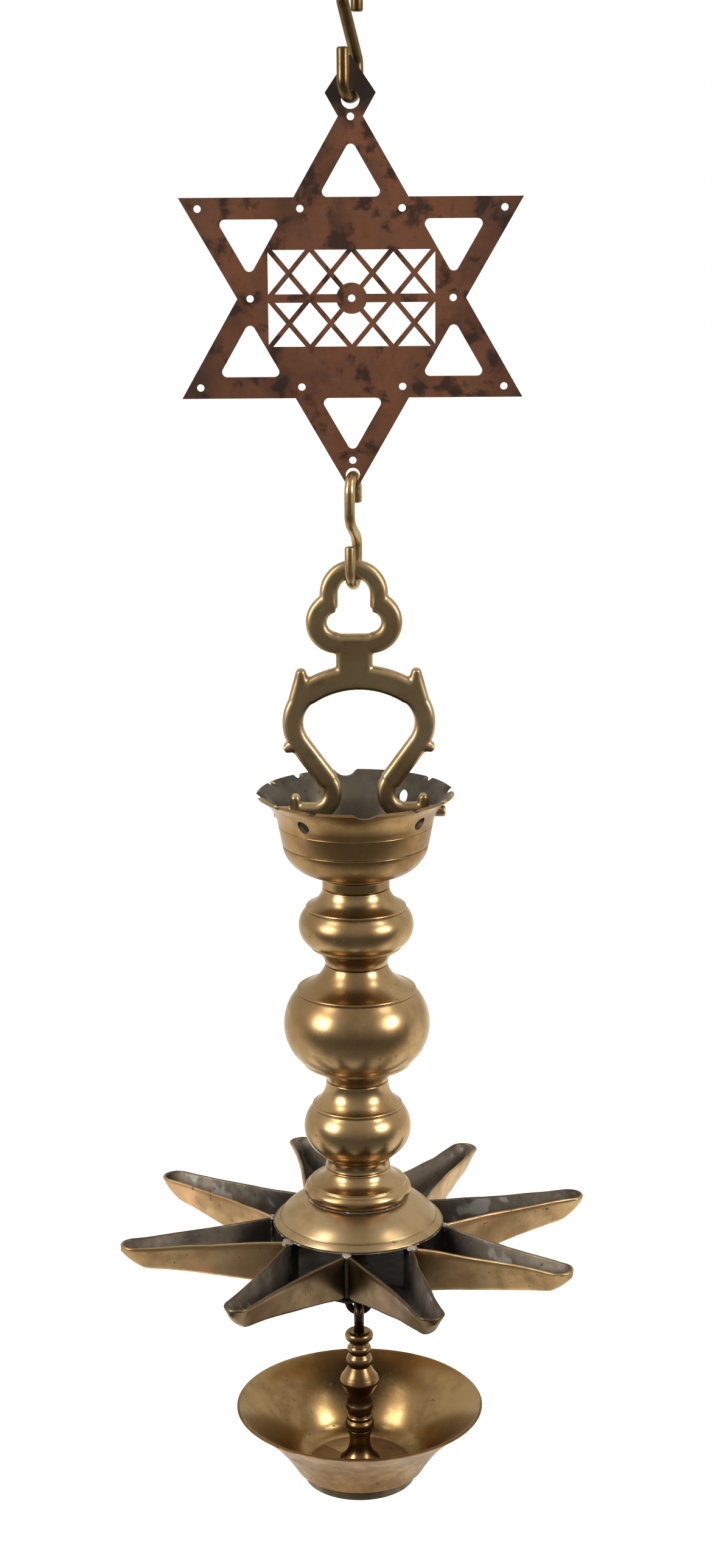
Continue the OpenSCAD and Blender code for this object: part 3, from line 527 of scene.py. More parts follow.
def hook(name, node, material, wire_d, loop_r, limb_upper, limb_lower, end_upper, end_lower, turn):
    """An S of wire: two loops joined by a slanting shank, turned about the vertical."""
    z_upper = high(node) - loop_r - wire_d / 2
    z_lower = low(node) + loop_r + wire_d / 2
    bend_upper = z_upper - limb_upper
    bend_lower = z_lower + limb_lower
    tilt = math.asin(2 * loop_r / (bend_upper - bend_lower))
    line = []

    def add_arc(z, start, end, flip, steps, first=0):
        for i in range(first, steps + 1):
            a = mix(start, end, i / steps)
            line.append((loop_r * math.cos(a), z + loop_r * math.sin(a), a + flip, 1.0))

    for step, share in WIRE_END:
        line.append((loop_r, z_upper - end_upper + step * wire_d, math.pi, share))
    add_arc(z_upper, 0, math.pi, math.pi, LOOP_STEPS)
    add_arc(bend_upper, math.pi, math.pi + tilt, math.pi, BEND_STEPS, 0 if limb_upper > 0 else 1)
    add_arc(bend_lower, tilt, 0, 0, BEND_STEPS)
    add_arc(z_lower, 0, -math.pi, 0, LOOP_STEPS)
    for step, share in reversed(WIRE_END):
        line.append((-loop_r, z_lower + end_lower - step * wire_d, -math.pi, share))
    spin = Matrix.Rotation(math.radians(90 - turn), 3, "Z")
    cross = spin @ BACK
    path = []
    for x, z, a, share in line:
        side = spin @ Vector((math.cos(a), 0, math.sin(a)))
        path.append((spin @ Vector((x, 0, z)), side, cross, share * wire_d / 2))
    bm = bmesh.new()
    add_tube(bm, path)
    worn(bm, HOOK_WEAR, 0.25, len(name))
    finish_piece(bm, name, node, [node], [material])


hook("top_hook_wire", "top_hook", hook_brass, wire_d=5.6, loop_r=8.0, limb_upper=0, limb_lower=6,
     end_upper=6.5, end_lower=14, turn=24)
hook("lower_hook_wire", "lower_hook", wire_brass, wire_d=5.0, loop_r=7.5, limb_upper=9.256, limb_lower=9.256,
     end_upper=6, end_lower=11.5, turn=13)


# Cast bail: bars of rounded section along the front outline, fused into one skin

BAIL_T = 7.0
BAIL_EDGE = 2.8
FUSE_LOSS = 0.7
SEAT_ROOM = 0.7
BAIL_SHIFT = 2.0
Z_TREFOIL = Z_RIM + 95.3
TREFOIL_R = 11.9
TREFOIL_BAND = 8.0
LOBE_X = 8.0
LOBE_R = 9.9
LOBE_BAND = 9.4
Z_LOBE = Z_TREFOIL - 12.9
Z_CUSP = Z_LOBE + LOBE_R * 0.72
Z_TREFOIL_FOOT = Z_LOBE - LOBE_R
NECK_W = 16.8
Z_ARCH = Z_TREFOIL_FOOT - 17.1
ARCH_R = 44.0
SHOULDER_R = 17.6
SHOULDER_X = 14.0
Z_SHOULDER = Z_ARCH - ARCH_R + math.sqrt((ARCH_R - SHOULDER_R) ** 2 - SHOULDER_X ** 2)
CURL_R = 9.5
CURL_X = 22.4
CURL_DROP = 34.4
Z_CURL = Z_SHOULDER - CURL_DROP
LEG_BAND = 9.4
ARCH_BAND = LEG_BAND + 1.8
CURL_BAND = 8.2
FOOT_END = CROWN_WALL_R - CROWN_WALL - 2.6
LUG_R = 2.8
LUG_END = CROWN_WALL_R + 3.6
# Degrees by which one bar runs into the next
LAP = 2


def section_ring(width, thick):
    """Points of a rounded rectangle, across and through the bail."""
    edge = min(BAIL_EDGE, width * 0.45, thick * 0.45)
    points = []
    for sx, sy, start in ((1, 1, 0), (-1, 1, 90), (-1, -1, 180), (1, -1, 270)):
        for k in range(5):
            a = math.radians(start + 90 * k / 4)
            points.append(on_circle(sx * (width / 2 - edge), sy * (thick / 2 - edge), edge, a))
    return points


def add_bar(bm, line, widths):
    """A bar along points in the front plane, with a width at each point."""
    rings = []
    for i, p in enumerate(line):
        before = Vector(line[max(0, i - 1)])
        after = Vector(line[min(len(line) - 1, i + 1)])
        along = (after - before).normalized()
        side = Vector((-along.y, along.x))
        section = section_ring(widths[i] + FUSE_LOSS, BAIL_T + FUSE_LOSS)
        rings.append(add_ring(bm, [(p[0] + side.x * across, through, p[1] + side.y * across)
                                   for across, through in section]))
    close_tube(bm, rings)


def arc_line(centre, r, start, end):
    n = max(4, round(abs(end - start) / 5))
    return [on_circle(*centre, r, math.radians(mix(start, end, i / n))) for i in range(n + 1)]


def add_even_bar(bm, line, width):
    add_bar(bm, line, [width] * len(line))


def placed(line, sign):
    """A line of the bail's lower part, on the right or the left side."""
    return [(sign * x + BAIL_SHIFT, z) for x, z in line]


def straight_line(p, q, n=8):
    return [(mix(p[0], q[0], i / n), mix(p[1], q[1], i / n)) for i in range(n + 1)]


def add_spur(bm, root, step, root_w, tip_w, sign):
    """A spur that narrows from its root and has a round tip."""
    tip = (root[0] + step[0], root[1] + step[1])
    line = straight_line(root, tip, 6)
    widths = [mix(root_w, tip_w, i / 6) for i in range(7)]
    length = math.hypot(*step)
    for turn in (30, 55, 75):
        past = tip_w / 2 * math.sin(math.radians(turn)) / length
        line.append((tip[0] + step[0] * past, tip[1] + step[1] * past))
        widths.append(tip_w * math.cos(math.radians(turn)))
    add_bar(bm, placed(line, sign), widths)


def on_shoulder(r, angle):
    return on_circle(SHOULDER_X, Z_SHOULDER, r, math.radians(angle))


def make_bail():
    bm = bmesh.new()
    add_even_bar(bm, arc_line((0, Z_TREFOIL + SEAT_ROOM), TREFOIL_R, -5, 185), TREFOIL_BAND)
    add_even_bar(bm, straight_line((-LOBE_X - 1, Z_TREFOIL_FOOT), (LOBE_X + 1, Z_TREFOIL_FOOT)), TREFOIL_BAND)
    add_even_bar(bm, straight_line((0, Z_TREFOIL_FOOT + 1), (0, Z_ARCH - 2)), NECK_W)
    span = math.hypot(CURL_X - SHOULDER_X, CURL_DROP)
    lean = math.asin((SHOULDER_R + CURL_R) / span) - math.atan((CURL_X - SHOULDER_X) / CURL_DROP)
    lean_deg = math.degrees(lean)
    arch_end = math.degrees(math.acos(SHOULDER_X / (ARCH_R - SHOULDER_R)))
    for sign in (1, -1):
        lobe = arc_line((LOBE_X, Z_LOBE), LOBE_R, -92, 82)
        add_even_bar(bm, [(sign * x, z) for x, z in lobe], LOBE_BAND)
        side = straight_line((sign * TREFOIL_R, Z_TREFOIL), (sign * TREFOIL_R, Z_CUSP))
        add_even_bar(bm, side, TREFOIL_BAND)
        start = on_shoulder(SHOULDER_R, -lean_deg)
        end = (CURL_X - CURL_R * math.cos(lean), Z_CURL + CURL_R * math.sin(lean))
        for line, width in (
                (arc_line((0, Z_ARCH - ARCH_R), ARCH_R + 0.4, arch_end - LAP, 93), ARCH_BAND),
                (arc_line((SHOULDER_X, Z_SHOULDER), SHOULDER_R, -lean_deg - LAP, arch_end + LAP), LEG_BAND),
                (straight_line(start, end), LEG_BAND),
                (arc_line((CURL_X, Z_CURL), CURL_R, 180 - lean_deg - LAP, 274), CURL_BAND),
                (straight_line((CURL_X - 1, Z_PIVOT), (FOOT_END, Z_PIVOT)), CURL_BAND)):
            add_even_bar(bm, placed(line, sign), width)
        add_spur(bm, on_shoulder(SHOULDER_R, 42), (0.4, 12), root_w=12.4, tip_w=4.8, sign=sign)
        spur_root = on_shoulder(SHOULDER_R + LEG_BAND * 0.2, -33)
        add_spur(bm, spur_root, (3.8, -1.4), root_w=7.4, tip_w=4.2, sign=sign)
        add_spur(bm, (FOOT_END - 2.4, Z_PIVOT), (0.4, CURL_BAND / 2 + 2.2), root_w=4.8, tip_w=4.4, sign=sign)
        lug = []
        for x, share in ((FOOT_END - 4, 1), (FOOT_END, 1), (LUG_END - 0.5, 1), (LUG_END, 0.8)):
            lug.append((Vector((sign * x + BAIL_SHIFT, 0, Z_PIVOT)), BACK, UP, LUG_R * share))
        add_tube(bm, lug)
    obj = finish_piece(bm, "bail_casting", "bail", ["bail"], [cast_brass])
    fuse = obj.modifiers.new("fuse", "REMESH")
    fuse.mode = "VOXEL"
    fuse.voxel_size = 0.55 * MM
    fuse.use_smooth_shade = True
    soften = obj.modifiers.new("soften", "SMOOTH")
    soften.factor = 0.5
    soften.iterations = 6
    thin = obj.modifiers.new("thin", "DECIMATE")
    thin.ratio = 0.45
    baked(obj)


make_bail()


# Turned shaft pieces

BULGE_STEPS = 56
BORE_STEPS = 24


def knop(node, z_top, z_bottom, neck_top, neck_bottom, middle, round_r, shoulder_in, lip_in):
    """A hollow knop between two necks, with a stepped shoulder above the bulge and a lip below."""
    r = reach(node)
    shoulder = r - shoulder_in
    lip = r - lip_in
    z_mid = z_top - (z_top - z_bottom) * middle
    x = r - round_r
    rise = math.acos((shoulder + 0.5 - x) / round_r)
    fall = math.acos((lip - x) / round_r)
    z_edge = z_mid + round_r * math.sin(rise) + 1.8
    z_lip = z_mid - round_r * math.sin(fall)
    inner = round_r - SHAFT_WALL
    spigot = neck_top - SHAFT_WALL - SPIGOT_GAP
    bore_top = neck_top - SHAFT_WALL - 2
    bore_bottom = neck_bottom - SHAFT_WALL
    inner_rise = math.acos((bore_top - x) / inner)
    inner_fall = math.acos((bore_bottom - x) / inner)
    z_spigot = high(node)
    profile = [(spigot, z_spigot), (spigot, z_top), (neck_top - 0.5, z_top)]
    profile += bow((neck_top, z_top - 0.5), (shoulder - 0.6, z_edge), 58, 22)
    profile += bead((shoulder - 0.3, z_edge - 0.1), (shoulder + 0.1, z_edge - 1.6), 0.5, 8)
    for i in range(BULGE_STEPS + 1):
        a = mix(rise, -fall, i / BULGE_STEPS)
        profile.append(on_circle(x, z_mid, round_r, a))
    profile += [(lip - 0.1, z_lip - 1), (lip - 1, z_lip - 1.6)]
    profile += bow((lip - 1.6, z_lip - 1.8), (neck_bottom, z_bottom + 0.5), 58, 22)
    profile += [(neck_bottom - 0.5, z_bottom), (bore_bottom, z_bottom)]
    for i in range(BORE_STEPS + 1):
        a = mix(-inner_fall, inner_rise, i / BORE_STEPS)
        profile.append(on_circle(x, z_mid, inner, a))
    profile.append((bore_top, z_spigot))
    turned_piece(f"{node}_turned", "lamp", node, "cast_brass", [turned_brass], profile)


knop("upper_knop", Z_NECK_1, Z_NECK_2, NECK_1_R, NECK_2_R, middle=0.49, round_r=11.6, shoulder_in=4,
     lip_in=5.6)
knop("middle_knop", Z_NECK_2, Z_NECK_3, NECK_2_R, NECK_3_R, middle=0.51, round_r=24.4, shoulder_in=7,
     lip_in=9.2)
knop("lower_knop", Z_NECK_3, Z_NECK_4, NECK_3_R, NECK_4_R, middle=0.535, round_r=15.4, shoulder_in=4.6,
     lip_in=8.2)


def make_base_ring():
    z_edge = Z_BASE + 4
    bore = NECK_4_R - SHAFT_WALL
    z_spigot = high("base_ring")
    spigot = bore - SPIGOT_GAP
    profile = [(spigot, z_spigot), (spigot, Z_NECK_4), (NECK_4_R - 0.5, Z_NECK_4),
               (NECK_4_R, Z_NECK_4 - 0.5)]
    profile += bow((NECK_4_R, Z_NECK_4 - 1), (BASE_R - 3.6, z_edge + 4.8), 62, 20)
    profile += [(BASE_R - 2.6, z_edge + 4.5), (BASE_R - 2.5, z_edge + 3.8)]
    profile += bow((BASE_R - 1.9, z_edge + 3.2), (BASE_R - 1.2, z_edge - 2.8), -110, 18)
    profile += [(BASE_R - 2, z_edge - 3.4), (BASE_R - 2, Z_BASE), (bore, Z_BASE), (bore, Z_NECK_4 - 3),
                (bore - 2, Z_NECK_4 - 5), (bore - 2, z_spigot)]
    turned_piece("base_ring_turned", "lamp", "base_ring", "cast_brass", [turned_brass], profile)


make_base_ring()


# Crown bowl: a turned bowl whose rim is cut to a scalloped edge

FLARE_H = 13.3
CROWN_TURN = 6
NOTCH_R = 7.4
NICK_R = 2.6
NICK_ASIDE = 13
FREE_HOLE_R = 3.2
PIVOT_PLAY = 0.08
RIM_CUT_START = CROWN_WALL_R + 1
WALL_CUT_START = 20
CUT_END = CROWN_R + 4


def make_crown_bowl():
    wall = CROWN_WALL_R
    outside = bow((CROWN_R, Z_RIM - 1), (wall, Z_RIM - FLARE_H), 46, 24)
    outside += [(wall - 0.35, Z_RIM - 15.5), (wall - 0.7, Z_RIM - 15.7), (wall - 0.5, Z_RIM - 16)]
    outside += [(wall - 2.2, CROWN_FOOT + 15.4), (wall - 2.9, CROWN_FOOT + 15),
                (wall - 2.5, CROWN_FOOT + 14.6)]
    outside += bow((wall - 2.7, CROWN_FOOT + 13), (NECK_1_R + 9, CROWN_FOOT + 1.6), -50, 24)
    outside += [(NECK_1_R + 1.4, CROWN_FOOT), (NECK_1_R + 1.2, CROWN_FOOT - 1.4),
                (NECK_1_R, CROWN_FOOT - 2.2), (NECK_1_R, Z_NECK_1 + 0.5), (NECK_1_R - 0.5, Z_NECK_1)]
    bore = NECK_1_R - SHAFT_WALL
    under = CROWN_FOOT - HALF_FLOOR
    inside = [(bore, Z_NECK_1), (bore, under), (ROD_BORE, under), (ROD_BORE, CROWN_FLOOR),
              (NECK_1_R + 6, CROWN_FLOOR)]
    wall -= CROWN_WALL
    inside += bow((NECK_1_R + 8, CROWN_FLOOR + 0.4), (wall - 2.4, CROWN_FOOT + 14.5), 50, 20)
    inside += bow((CROWN_R - 1.5, Z_RIM), (wall, Z_RIM - FLARE_H), 46, 24)[::-1]
    obj = turned_piece("crown_bowl_turned", "lamp", "crown_bowl", "cast_brass", [crown_brass, bowl_inside],
                       outside + inside, segments=256, ease=0.5)
    cutters = bmesh.new()
    for k in range(4):
        notch = 90 * k + CROWN_TURN
        add_radial_cutter(cutters, notch, RIM_CUT_START, Z_RIM + 4.4, NOTCH_R)
        add_radial_cutter(cutters, notch + 45, WALL_CUT_START, Z_PIVOT, FREE_HOLE_R)
        for side in (-1, 1):
            add_radial_cutter(cutters, notch + 45 + side * NICK_ASIDE, RIM_CUT_START, Z_RIM + 0.5, NICK_R)
    for angle in (0, 180):
        add_radial_cutter(cutters, angle, WALL_CUT_START, Z_PIVOT, LUG_R + PIVOT_PLAY)
    bmesh.ops.recalc_face_normals(cutters, faces=cutters.faces)
    mesh = mesh_of(cutters, "crown_cutters")
    tool = add_object("crown_cutters", mesh)
    cut = obj.modifiers.new("cut", "BOOLEAN")
    cut.operation = "DIFFERENCE"
    cut.object = tool
    cut.solver = "EXACT"
    round_edges(obj, 0.35, 38)
    bpy.context.view_layer.update()
    baked(obj)
    for face in obj.data.polygons:
        x, y, z = face.center / MM
        inward = face.normal.x * x + face.normal.y * y < 0 or face.normal.z > 0.8
        if inward and z > CROWN_FLOOR - 0.5 and math.hypot(x, y) < CROWN_R - 1.6:
            face.material_index = 1
    bpy.data.objects.remove(tool)
    bpy.data.meshes.remove(mesh)


def add_radial_cutter(bm, angle, start, z, r):
    """A round cutter along a radius of the bowl."""
    spin = Matrix.Rotation(math.radians(angle), 3, "Z")
    side = spin @ BACK
    path = [(spin @ Vector((x, 0, z)), side, UP, r) for x in (start, CUT_END)]
    add_tube(bm, path, sides=40)


make_crown_bowl()


# Star: dome, spouts, floor and the solder that holds them

STAR_TURN = 14.8
TIP_SWING = (4, 0, 1, -5.4, -2.2, 0.4, 4, -2.8)
# The two front spouts, whose outsides get the darker sheet as painted shade
SHADED_FRONT_SPOUTS = (6, 7)
SPOUT_STEP = 45
HALF_SPOUT = math.radians(SPOUT_STEP / 2)
SEAM_R = 44.0
TIP_R = 120.0
TIP_W = 14.4
KEEL_W = 4.6
SHEET_T = 1.6
RIM_ROUND = 0.75
ROOT_DEPTH = Z_STAR_RIM - Z_STAR_FLOOR
TIP_DEPTH = 12.5
X_FLANGE = (SEAM_R - 5) * math.cos(HALF_SPOUT)
X_NOTCH = SEAM_R * math.cos(HALF_SPOUT)
X_NOSE = TIP_R - TIP_W * 0.52
X_PROW = TIP_R - TIP_W * 0.85
X_INNER_TIP = TIP_R - SHEET_T * 1.2
SEAM_STEPS = 26
TROUGH_STEPS = 22
NOSE_STEPS = 14
NOSE_END = 86
# Handwork in a spout: the wide sway, the small dents, and the run over which both grow from the seam
SWAY = 0.9
SMALL_DENTS = 0.22
FREE_RUN = 14


def make_star_cover():
    bore = NECK_4_R - SHAFT_WALL - SPIGOT_GAP
    z_top = high("star_cover")
    z_under = Z_BASE - 2.2
    seat = BASE_R - 2
    line = (COVER_R - 3.2, Z_STAR_RIM + 4.2)
    profile = [(ROD_BORE, z_top), (bore, z_top), (bore, Z_BASE)]
    profile += bow((seat + 0.4, Z_BASE), line, -34, 16)
    profile += [(line[0] + 0.1, line[1] - 0.6), (line[0] + 0.6, line[1] - 0.7), (COVER_R, Z_STAR_RIM + 1.2),
                (COVER_R, Z_STAR_RIM), (COVER_R - 2.2, Z_STAR_RIM)]
    profile += bow((COVER_R - 2.6, Z_STAR_RIM + 0.8), (seat, z_under), 28, 12)
    profile.append((ROD_BORE, z_under))
    turned_piece("star_cover_dome", "lamp", "star_cover", "sheet_brass", [dome_brass], profile)


def nose(x):
    return 1.0 if x <= X_NOSE else math.sqrt(1 - ((x - X_NOSE) / (TIP_R - X_NOSE)) ** 2)


def along(x):
    return max(0.0, min(1.0, (x - X_NOTCH) / (X_NOSE - X_NOTCH)))


def root_half(x):
    return min(x, X_NOTCH) * math.tan(HALF_SPOUT) - 0.05


def narrowing(x):
    return 1 - (1 - along(x)) ** 1.5


def rim_half(x):
    return mix(root_half(x), TIP_W / 2, narrowing(x)) * nose(x)


def keel_half(x):
    return mix(root_half(x), KEEL_W / 2, narrowing(x)) * nose(x)


def prow(x):
    return 1.0 if x <= X_PROW else 1 - 0.75 * ((x - X_PROW) / (TIP_R - X_PROW)) ** 1.6


def spout_depth(x):
    return mix(ROOT_DEPTH, TIP_DEPTH, along(x)) * prow(x)


def trough_line(top, foot, depth, rim_drop):
    """Points of a trough's section, from one rim round the keel to the other."""
    r = min(2.0, foot * 0.8, depth * 0.4)
    rim = Vector((top, -rim_drop))
    base = Vector((foot, -depth))
    up = (rim - base).normalized()
    start = base + up * r
    end = base - Vector((r, 0))
    side = [rim.lerp(start, i / 6) for i in range(6)]
    for i in range(7):
        t = i / 6
        side.append(start * (1 - t) ** 2 + base * (2 * t * (1 - t)) + end * t ** 2)
    return side + [Vector((-p.x, p.y)) for p in reversed(side)]


def make_spout(index):
    """A trough of sheet with a rounded rim, open at the star's middle and closed at the tip."""
    stations = [X_FLANGE, (X_FLANGE + X_NOTCH) / 2]
    stations += [mix(X_NOTCH, X_NOSE, i / TROUGH_STEPS) for i in range(TROUGH_STEPS + 1)]
    nose_turns = [math.radians(NOSE_END * i / NOSE_STEPS) for i in range(1, NOSE_STEPS + 1)]
    stations += [X_NOSE + (TIP_R - X_NOSE) * math.sin(turn) for turn in nose_turns]
    bm = bmesh.new()
    spin = Matrix.Rotation(math.radians(STAR_TURN + SPOUT_STEP * (index - 1)), 3, "Z")
    seed = Vector((index * 31.7, index * 11.3, index * 7.9))
    rings = []
    for x in stations:
        top = rim_half(x)
        foot = keel_half(x)
        depth = spout_depth(x)
        t = SHEET_T * nose(x)
        inner_x = x
        if x > X_NOSE:
            inner_x = X_NOSE + (x - X_NOSE) * (X_INNER_TIP - X_NOSE) / (TIP_R - X_NOSE)
        outer = [(x, p.x, p.y) for p in trough_line(top, foot, depth, RIM_ROUND)]
        inner_line = trough_line(top - t, foot - t, depth - SHEET_T * prow(x), RIM_ROUND)
        inner = [(inner_x, p.x, p.y) for p in inner_line]
        rim = []
        for share in (0.15, 0.5, 0.85):
            drop = RIM_ROUND * (1 - math.sqrt(1 - (2 * share - 1) ** 2))
            rim.append((mix(x, inner_x, share), top - t * share, -drop))
        rim_left = [(px, -py, pz) for px, py, pz in rim]
        ring = []
        for px, py, pz in outer + rim_left + inner[::-1] + rim[::-1]:
            free = max(0.0, min(1.0, (px - X_NOTCH) / FREE_RUN))
            wide = Vector((px * 0.045, py * 0.03, pz * 0.05))
            small = Vector((px * 0.16, py * 0.12, pz * 0.16))
            shift = noise.noise_vector(wide + seed) * (SWAY * free)
            shift += noise.noise_vector(small + seed) * (SMALL_DENTS * free)
            lean = TIP_SWING[index - 1] * along(px)
            point = spin @ Vector((px + shift.x * 0.3, py + lean + shift.y, Z_STAR_RIM + pz + shift.z * 0.5))
            ring.append(bm.verts.new(point * MM))
        rings.append(ring)
    count = len(rings[0])
    half = (count - 6) // 2
    for i in range(len(rings) - 1):
        for j in range(count):
            k = (j + 1) % count
            f = bm.faces.new((rings[i][j], rings[i][k], rings[i + 1][k], rings[i + 1][j]))
            if half + 3 <= j <= count - 5:
                f.material_index = 1
            elif j in (half + 1, half + 2, count - 4, count - 3):
                f.material_index = 2
    root = rings[0]
    outer = root[:half]
    inner = root[half + 3:count - 3][::-1]
    for j in range(half - 1):
        bm.faces.new((outer[j], outer[j + 1], inner[j + 1], inner[j]))
    bm.faces.new([outer[0], inner[0]] + root[count - 3:])
    bm.faces.new([outer[-1]] + root[half:half + 3] + [inner[-1]])
    tip = rings[-1]
    bm.faces.new(tip[:half + 1] + [tip[-1]])
    bm.faces.new(tip[half + 2:count - 2]).material_index = 1
    for j in range(half, half + 2):
        opposite = count - 1 - (j - half)
        bm.faces.new((tip[j], tip[j + 1], tip[opposite - 1], tip[opposite])).material_index = 2
    # The front spouts take the darker sheet as painted shade
    outside = sheet_painted_shade if index in SHADED_FRONT_SPOUTS else sheet_brass
    finish_piece(bm, f"spout_{index}_sheet", "lamp", [f"spout_{index}"],
                 [outside, soot_and_shadow_tin, rim_tin], sharp=55)


def between_spouts(index):
    """Direction outwards between a spout and the next."""
    angle = math.radians(STAR_TURN + SPOUT_STEP * (index - 0.5))
    return Vector((math.cos(angle), math.sin(angle), 0))


def make_seam(index):
    """Solder run down the notch between two spouts."""
    out = between_spouts(index)
    side = Vector((-out.y, out.x, 0))
    path = []
    for i in range(SEAM_STEPS + 1):
        t = i / SEAM_STEPS
        z = mix(Z_STAR_RIM - 0.3, Z_STAR_FLOOR + 0.4, t)
        swell = 2.2 + 0.8 * noise.noise(Vector((t * 6, index * 3.3, 0.0)))
        close = min(1.0, 0.45 + 6 * t, 0.45 + 6 * (1 - t))
        lean = 0.5 * noise.noise(Vector((t * 5, index * 7.1, 4.0)))
        centre = out * (SEAM_R - 0.35) + side * lean + UP * z
        path.append((centre, side, out * 0.55, swell * close))
    bm = bmesh.new()
    add_tube(bm, path, sides=18)
    finish_piece(bm, f"seam_solder_{index}", "lamp", [], [seam_brown])


def make_solder_lump(index, size):
    """A lump of solder left at the top of a seam."""
    out = between_spouts(index)
    bm = bmesh.new()
    bmesh.ops.create_icosphere(bm, subdivisions=4, radius=1.0)
    for v in bm.verts:
        bumps = 1 + 0.34 * noise.noise(v.co * 1.6 + Vector((index * 4.7, 0, 0)))
        bumps += 0.14 * noise.noise(v.co * 4.4 + Vector((0, index * 3.1, 0)))
        spot = v.co * (size * bumps)
        v.co = (out * (SEAM_R - 0.6) + Vector((spot.x, spot.y, Z_STAR_RIM - 0.5 + spot.z * 0.55))) * MM
    finish_piece(bm, f"solder_lump_{index}", "lamp", [], [solder_pale])


def make_solder_ring(name, r, z, widen, waves, steps, sides):
    """An uneven run of solder round the axis, swelling by waves of (height, closeness)."""
    path = []
    for a in angles(steps):
        out = Vector((math.cos(a), math.sin(a), 0))
        thick = 0.5
        for height, closeness in waves:
            thick += height * noise.noise(out * closeness)
        path.append((out * r + UP * z, out * widen, UP, thick))
    bm = bmesh.new()
    add_tube(bm, path, sides=sides, closed=True)
    finish_piece(bm, name, "lamp", [], [solder_grey])


def make_star_floor():
    r = (X_NOTCH + 1.5) / math.cos(HALF_SPOUT)
    z_low = low("star_floor")
    bm = bmesh.new()
    rings = []
    for radius, z in ((ROD_BORE, Z_STAR_FLOOR), (r - 0.4, Z_STAR_FLOOR), (r, Z_STAR_FLOOR - 0.3),
                      (r, z_low + 0.3), (r - 0.4, z_low), (ROD_BORE, z_low)):
        ring = []
        for a in angles(64):
            reach_now = radius
            if radius > ROD_BORE:
                off = (a + HALF_SPOUT) % (2 * HALF_SPOUT) - HALF_SPOUT
                reach_now = radius * math.cos(HALF_SPOUT) / math.cos(off)
            turn = a + math.radians(STAR_TURN)
            ring.append((reach_now * math.cos(turn), reach_now * math.sin(turn), z))
        rings.append(add_ring(bm, ring))
    close_tube(bm, rings, closed=True)
    worn(bm, 0.15, 0.08, 3)
    finish_piece(bm, "star_floor_sheet", "lamp", ["star_floor"], [soot_and_shadow_tin], sharp=40)


make_star_cover()
for spout_index in range(1, 9):
    make_spout(spout_index)
    make_seam(spout_index)
for seam_index, lump_size in ((4, 2.2), (5, 2.9), (6, 2.0), (7, 2.4), (8, 1.9)):
    make_solder_lump(seam_index, lump_size)
# Where the dome's edge meets the spouts, and in the gap under the base ring
make_solder_ring("dome_solder", COVER_R - 0.4, Z_STAR_RIM + 0.05, widen=1.3, waves=((0.3, 5.2), (0.15, 17)),
                 steps=240, sides=14)
make_solder_ring("ring_gap_solder", BASE_R - 1.7, Z_BASE + 0.1, widen=1.0, waves=((0.22, 6.1),), steps=200,
                 sides=12)
make_star_floor()


# Rod end, nut and washer in the crown bowl, and the eye under the star

NUT_HALF_DIAGONAL = 8.4


def make_rod_nut():
    z_low = low("rod_nut")
    z_high = high("rod_nut")
    bm = bmesh.new()
    bmesh.ops.create_cube(bm, size=1.0)
    for v in bm.verts:
        x, y, z = v.co
        corner = ((x - y) * NUT_HALF_DIAGONAL, (x + y) * NUT_HALF_DIAGONAL, mix(z_low, z_high, z + 0.5))
        v.co = Vector(corner) * MM
    bmesh.ops.bevel(bm, geom=list(bm.edges), offset=0.8 * MM, segments=3, affect="EDGES", profile=0.6)
    worn(bm, 0.2, 0.3, 8)
    finish_piece(bm, "rod_nut_square", "lamp", ["rod_nut"], [eye_brass])


def flat_ring(node, bore):
    """Profile of a plain ring as wide and as high as its node."""
    r = reach(node)
    return [(bore, high(node)), (r, high(node)), (r, low(node)), (bore, low(node))]


def make_rod_washer():
    bm = bmesh.new()
    add_lathe(bm, flat_ring("rod_washer", ROD_R + 0.1), segments=72, ease=0.4)
    worn(bm, 0.15, 0.15, 5)
    finish_piece(bm, "rod_washer_round", "lamp", ["rod_washer"], [eye_brass])


def make_bottom_eye():
    wire = 3.7
    eye_r = 5.35
    z_boss = high("bottom_eye")
    z_eye = low("bottom_eye") + eye_r + wire / 2
    boss_r = ROD_R + 3
    bm = bmesh.new()
    profile = [(0, z_boss - 0.2), (boss_r, z_boss - 0.2), (boss_r, z_boss - 3), (boss_r - 0.6, z_boss - 3.4),
               (boss_r, z_boss - 3.8), (boss_r, z_boss - 7), (boss_r - 1.4, z_boss - 8)]
    profile += bow((wire * 0.75 + 0.8, z_boss - 8.2), (wire * 0.75, z_eye + eye_r - 0.5), 30, 8)
    profile.append((0, z_eye + eye_r - 0.6))
    add_lathe(bm, profile, segments=72)
    ring = []
    for a in angles(64):
        side = Vector((math.cos(a), 0, math.sin(a)))
        ring.append((side * eye_r + UP * z_eye, side, BACK, wire / 2))
    add_tube(bm, ring, sides=24, closed=True)
    finish_piece(bm, "bottom_eye_forged", "lamp", ["bottom_eye"], [eye_brass])


make_rod_nut()
make_rod_washer()
make_bottom_eye()


# Drip bowl with its stem and hook

STEM_END_R = 4
STEM_BORE = 4.1


